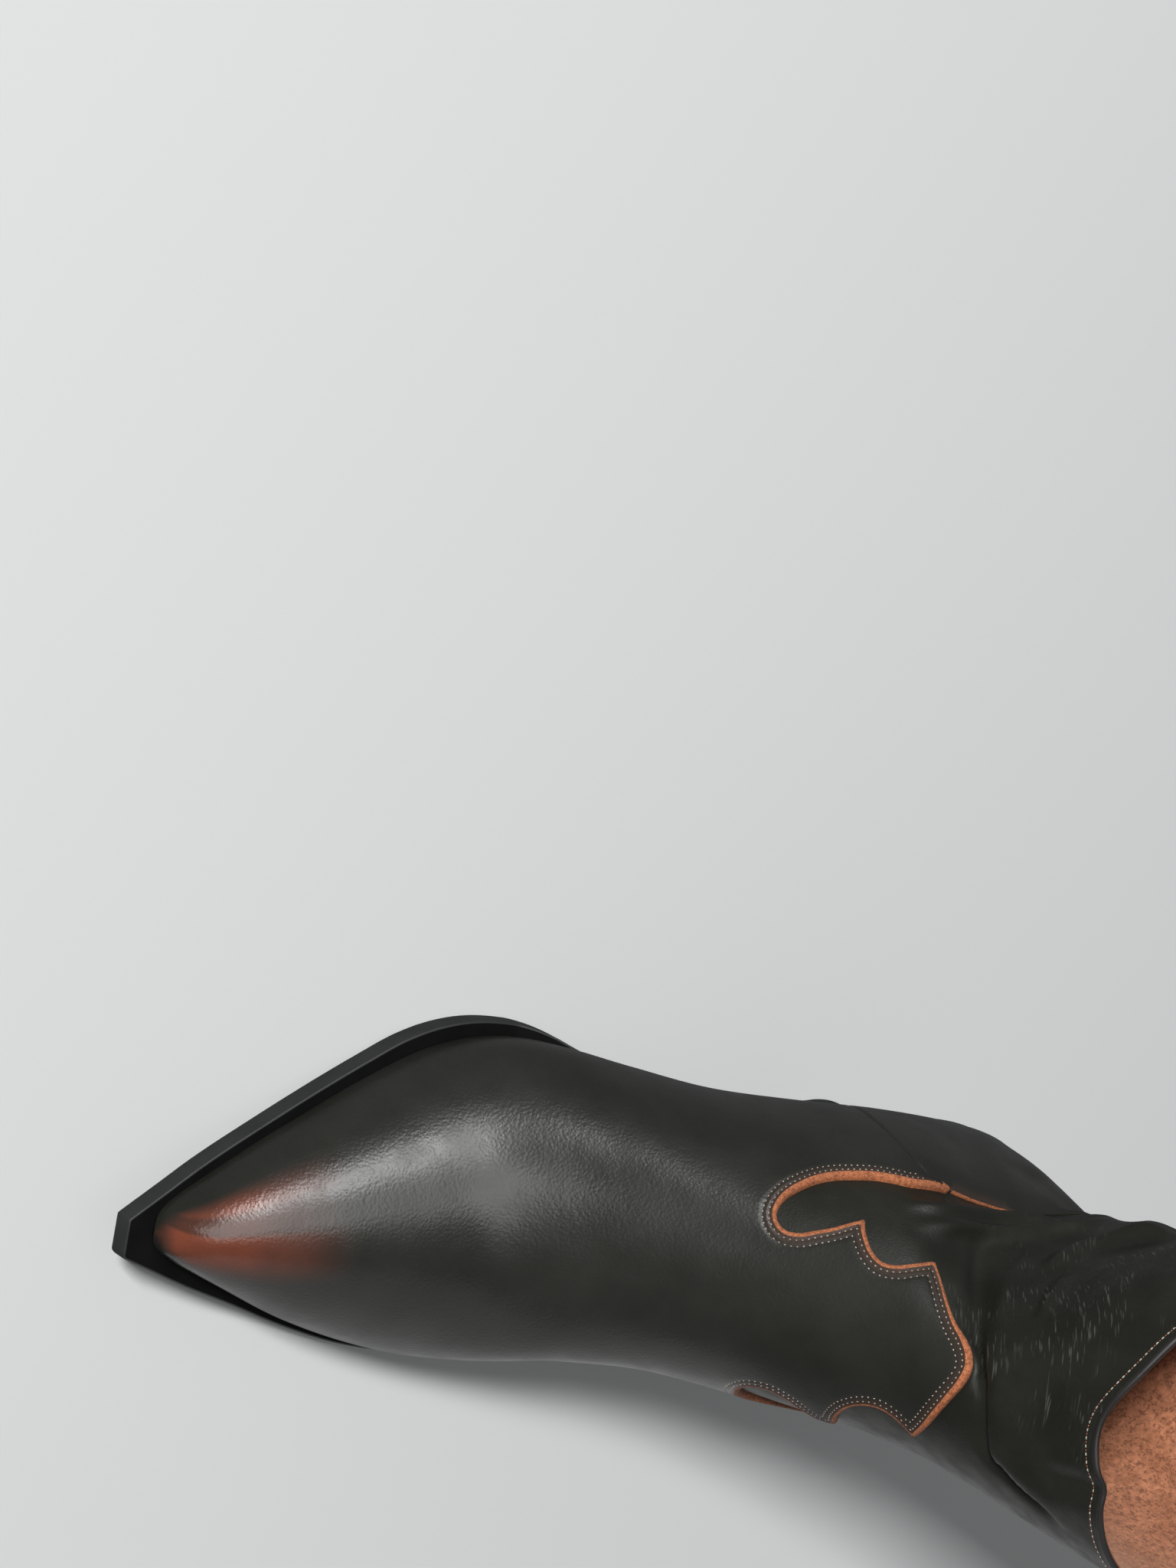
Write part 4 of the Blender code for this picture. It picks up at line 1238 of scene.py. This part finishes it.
def make_collar():
    """A band over the rim, the rolled edge on top of it and the stitch row below."""
    points = WHOLE.values["point"]
    rim = points[WHOLE.index[-1, :-1]]
    below = points[WHOLE.index[-2, :-1]]
    normal = WHOLE.values["normal"][WHOLE.index[-1, :-1]]
    up = np.array([0, 0, 1.0])
    out = normal - (normal @ up)[:, None] * up
    out /= np.linalg.norm(out, axis=1, keepdims=True)

    def ring(name, outline, materials, slot, choice, sharp):
        """A ring along the rim. outline holds how far out and up from the rim each corner lies."""
        loops = np.array([rim + out * far + up * high for far, high in outline])
        index = np.arange(loops.shape[0] * loops.shape[1]).reshape(loops.shape[:2])
        closed = np.vstack([index, index[:1]])
        faces = grid_triangles(np.column_stack([closed, closed[:, 0]]))
        chosen = np.tile(np.repeat(choice, len(rim)), 2)
        return make_piece(name, loops.reshape(-1, 3), faces, materials, chosen, sharp=sharp)

    middle = ROLL_TOP - ROLL_HALF_HEIGHT
    corners = ((0.0, BAND_LOW), (-0.1, middle), (0.1 - WALL, middle), (-WALL, BAND_LOW))
    ring("collar_band", corners, [SHAFT, LINING], "shaft", (0, 0, 1, 1), 40.0)
    turns = np.linspace(0, 2 * np.pi, ROLL_STEPS, endpoint=False)
    outline = np.column_stack([
        ROLL_HALF_WIDTH * np.cos(turns) - WALL / 2,
        middle + ROLL_HALF_HEIGHT * np.sin(turns),
    ])
    choice = [int(step in ROLL_RAW_STEPS) for step in range(ROLL_STEPS)]
    piece = ring("collar_roll", outline, [ROLL, RAW], "binding", choice, 180.0)
    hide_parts("collar_binding")

    down = below - rim
    path = rim + down / np.linalg.norm(down, axis=1, keepdims=True) * COLLAR_STITCH_DROP
    path = np.vstack([path, path[:1]])
    ways = np.vstack([out, out[:1]])
    beads = stitch_line(path, ways, COLLAR_STITCH_PITCH, COLLAR_STITCH_LENGTH, STITCH_RADIUS)
    join_beads("collar_stitches", beads, THREAD)
    holes = stitch_line(path, ways, COLLAR_STITCH_PITCH, COLLAR_HOLE_LENGTH, COLLAR_HOLE_RADIUS, 0.0)
    join_beads("collar_stitch_holes", holes, RAW)


# Sole, heel and footbed

def heel_round(length, half, steps):
    """Quarter of an ellipse round the heel, from its widest place almost to the back: x and half-width."""
    turn = np.linspace(np.pi / 2, HEEL_LAST_TURN, steps)[1:]
    return np.column_stack([HEEL_CENTRE_X - length * np.cos(turn), half * np.sin(turn)])


def sole_edge(column, side):
    """One edge of the sole's plan, from the toe to the back of the heel."""
    plan = np.array(SOLE_PLAN)[:, [0, SOLE_PLAN_COLUMNS.index(column)]]
    rows = plan[1:]
    places = np.linspace(0, len(rows) - 1, (len(rows) - 1) * SOLE_FLANK_STEPS + 1)
    flank = smooth(places, np.arange(len(rows)), rows)
    toe_x, toe_half = plan[0]
    toe_y = np.linspace(SOLE_TOE_FIRST, toe_half - SOLE_CORNER_WIDE, SOLE_TOE_POINTS)
    toe = np.column_stack([np.full(SOLE_TOE_POINTS, toe_x), toe_y])
    corner = [(toe_x - SOLE_CORNER_BACK, toe_half + SOLE_CORNER_WIDE)]
    back = heel_round(SOLE_HEEL_LENGTH, plan[-1, 1], SOLE_HEEL_STEPS)
    return np.vstack([toe, corner, flank, back]) * (1, side)


def insole_edge(column, side):
    """One edge of the footbed's plan, inside the wall of the upper."""
    table = np.array(SECTIONS)[:FIRST_CLOSED]
    back_x = table[:, SECTION_COLUMNS.index("back_x")]
    half = table[:, SECTION_COLUMNS.index(column)] - WALL - INSOLE_CLEARANCE
    x = np.linspace(INSOLE_TOE_X, HEEL_CENTRE_X, INSOLE_FLANK_POINTS)
    flank = np.column_stack([x, smooth(x, back_x[::-1], half[::-1])])
    back = heel_round(INSOLE_HEEL_LENGTH, flank[-1, 1], INSOLE_HEEL_STEPS)
    return np.vstack([flank, back]) * (1, side)


def make_plate(name, left, right, profile, height, materials, ledge_from=None):
    """A plate inside a plan. profile holds how far each ring is drawn in and how high it lies."""
    plan = np.vstack([left, right[::-1]])
    step = np.roll(plan, -1, axis=0) - np.roll(plan, 1, axis=0)
    inward = np.column_stack([step[:, 1], -step[:, 0]])
    inward /= np.linalg.norm(inward, axis=1, keepdims=True)
    if ((plan.mean(axis=0) - plan) * inward).sum() < 0:
        inward = -inward
    rings = []
    for inset, share in profile:
        ring = plan + inward * inset
        rings.append(np.column_stack([ring, height(ring[:, 0]) + share]))
    index, faces = tube(len(rings), len(plan))
    choice = [0] * len(faces)
    # Rings from ledge_from on, and the top cap, take the second material: the ledge's painted shade
    if ledge_from is not None:
        low = index[ledge_from, 0]
        choice = [int(min(face) >= low) for face in faces]
    half = len(left)
    for level, last_choice in ((0, 0), (len(rings) - 1, int(ledge_from is not None))):
        pair = np.array([index[level, :half], index[level, half:][::-1]])
        cap = grid_triangles(pair)
        if level == 0:
            cap = cap[:, ::-1]
        faces += cap.tolist()
        choice += [last_choice] * len(cap)
    return make_piece(name, np.concatenate(rings), faces, materials, choice)


def make_sole():
    left = sole_edge("left", 1)
    right = sole_edge("right", -1)
    # The ledge rings carry the painted shade of the groove along the upper
    piece = make_plate(
        "sole", left, right, SOLE_RINGS, underside, [SOLE, LEDGE_SHADE], ledge_from=SOLE_LEDGE_FROM,
    )
    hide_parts("outsole")


def make_footbed():
    left = insole_edge("feather_l", 1)
    right = insole_edge("feather_r", -1)
    piece = make_plate("footbed", left, right, INSOLE_RINGS, feather, [LINING])
    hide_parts("insole")


def heel_outline(level):
    """Plan of the heel at one level: a flat breast, straight sides and a round back."""
    values = dict(zip(HEEL_COLUMNS, level))
    length = values["breast_x"] - values["back_x"]
    round_x = values["back_x"] + HEEL_ROUND_SHARE * length
    turn = np.linspace(np.pi / 2, -np.pi / 2, 2 * HEEL_ROUND_STEPS + 1)
    x = round_x - HEEL_ROUND_SHARE * length * np.cos(turn)
    y = values["half_width"] * np.sin(turn)
    corner = HEEL_BREAST_SHARE * values["half_width"]
    breast = [(values["breast_x"] + ahead, inward - corner) for ahead, inward in HEEL_BREAST]
    breast += [(breast_x, -breast_y) for breast_x, breast_y in breast[::-1]]
    return np.vstack([np.column_stack([x, y]), breast])


def make_stack(name, loops, materials):
    """A solid through loops of equal length, capped at both ends."""
    index, faces = tube(*loops.shape[:2])
    faces.append(index[0, ::-1].tolist())
    faces.append(index[-1].tolist())
    return make_piece(name, loops.reshape(-1, 3), faces, materials)


def make_heel():
    table = np.array(HEEL_LEVELS)
    shares = np.linspace(0, 1, HEEL_STEPS)
    loops = []
    for share, level in zip(shares, smooth(shares, table[:, 0], table)):
        plan = heel_outline(level)
        seat = underside(plan[:, 0])
        loops.append(np.column_stack([plan, LIFT_THICK + (seat - LIFT_THICK) * share]))
    piece = make_stack("heel_block", np.array(loops), [HEEL])
    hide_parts("heel")
    tip = heel_outline(HEEL_LEVELS[0])
    middle = tip.mean(axis=0)
    loops = []
    for inset, height in LIFT_RINGS:
        shrink = 1 - inset / np.linalg.norm(tip - middle, axis=1, keepdims=True)
        loops.append(np.column_stack([middle + (tip - middle) * shrink, np.full(len(tip), height)]))
    piece = make_stack("heel_tip", np.array(loops), [RUBBER])
    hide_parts("heel_lift")


# Stage

def put(name, data, right, up, at):
    """An object in the scene at a place, turned by its right and up directions."""
    thing = bpy.data.objects.new(name, data)
    bpy.context.scene.collection.objects.link(thing)
    turned = np.eye(4)
    turned[:3, 0] = right
    turned[:3, 1] = up
    turned[:3, 2] = np.cross(right, up)
    turned[:3, 3] = at
    thing.matrix_world = Matrix(turned.tolist())
    return thing


def make_light(row):
    values = dict(zip(LIGHT_COLUMNS, row))
    light = bpy.data.lights.new(values["name"], "AREA")
    light.shape = "RECTANGLE"
    light.size = values["width"]
    light.size_y = values["height"]
    light.energy = values["power"]
    turn, rise = np.radians([values["turn"], values["rise"]])
    ray = np.array([np.cos(rise) * np.cos(turn), np.cos(rise) * np.sin(turn), np.sin(rise)])
    at = values["distance"] * ray
    back = at - np.array(LIGHTS_AIM)
    back /= np.linalg.norm(back)
    side = np.cross((0.0, 0.0, 1.0), back)
    side /= np.linalg.norm(side)
    lamp = put(values["name"], light, side, np.cross(back, side), at)
    setattr(lamp, values["hidden_from"], False)


def make_floor():
    material, _, shader = new_material("floor_paint", FLOOR_COLOUR, FLOOR_ROUGHNESS)
    shader.inputs["Specular IOR Level"].default_value = 0.0
    shader.inputs["Emission Color"].default_value = (1.0, 1.0, 1.0, 1)
    shader.inputs["Emission Strength"].default_value = FLOOR_GLOW
    mesh = bpy.data.meshes.new("floor")
    corners = [(x * FLOOR_REACH, y * FLOOR_REACH, 0) for x, y in ((-1, -1), (1, -1), (1, 1), (-1, 1))]
    mesh.from_pydata(corners, [], [(0, 1, 2, 3)])
    mesh.materials.append(material)
    floor = bpy.data.objects.new("floor", mesh)
    bpy.context.scene.collection.objects.link(floor)
    floor.visible_glossy = False
    floor.visible_shadow = False


def make_stage():
    scene = bpy.context.scene
    scene.view_settings.view_transform = "Standard"
    world = bpy.data.worlds.new("studio")
    world.use_nodes = True
    sky = world.node_tree.nodes["Background"]
    sky.inputs["Color"].default_value = (*SKY_COLOUR, 1)
    sky.inputs["Strength"].default_value = SKY_STRENGTH
    scene.world = world
    make_floor()
    for row in LIGHTS:
        make_light(row)
    camera = bpy.data.cameras.new("camera")
    camera.lens = LENS
    camera.sensor_width = SENSOR
    scene.camera = put("camera", camera, CAMERA_RIGHT, CAMERA_UP, to_world(CAMERA_AT))


make_sole()
make_heel()
make_footbed()
make_shaft()
make_counter()
make_wing_stitches(make_vamp())
make_collar()
make_stage()
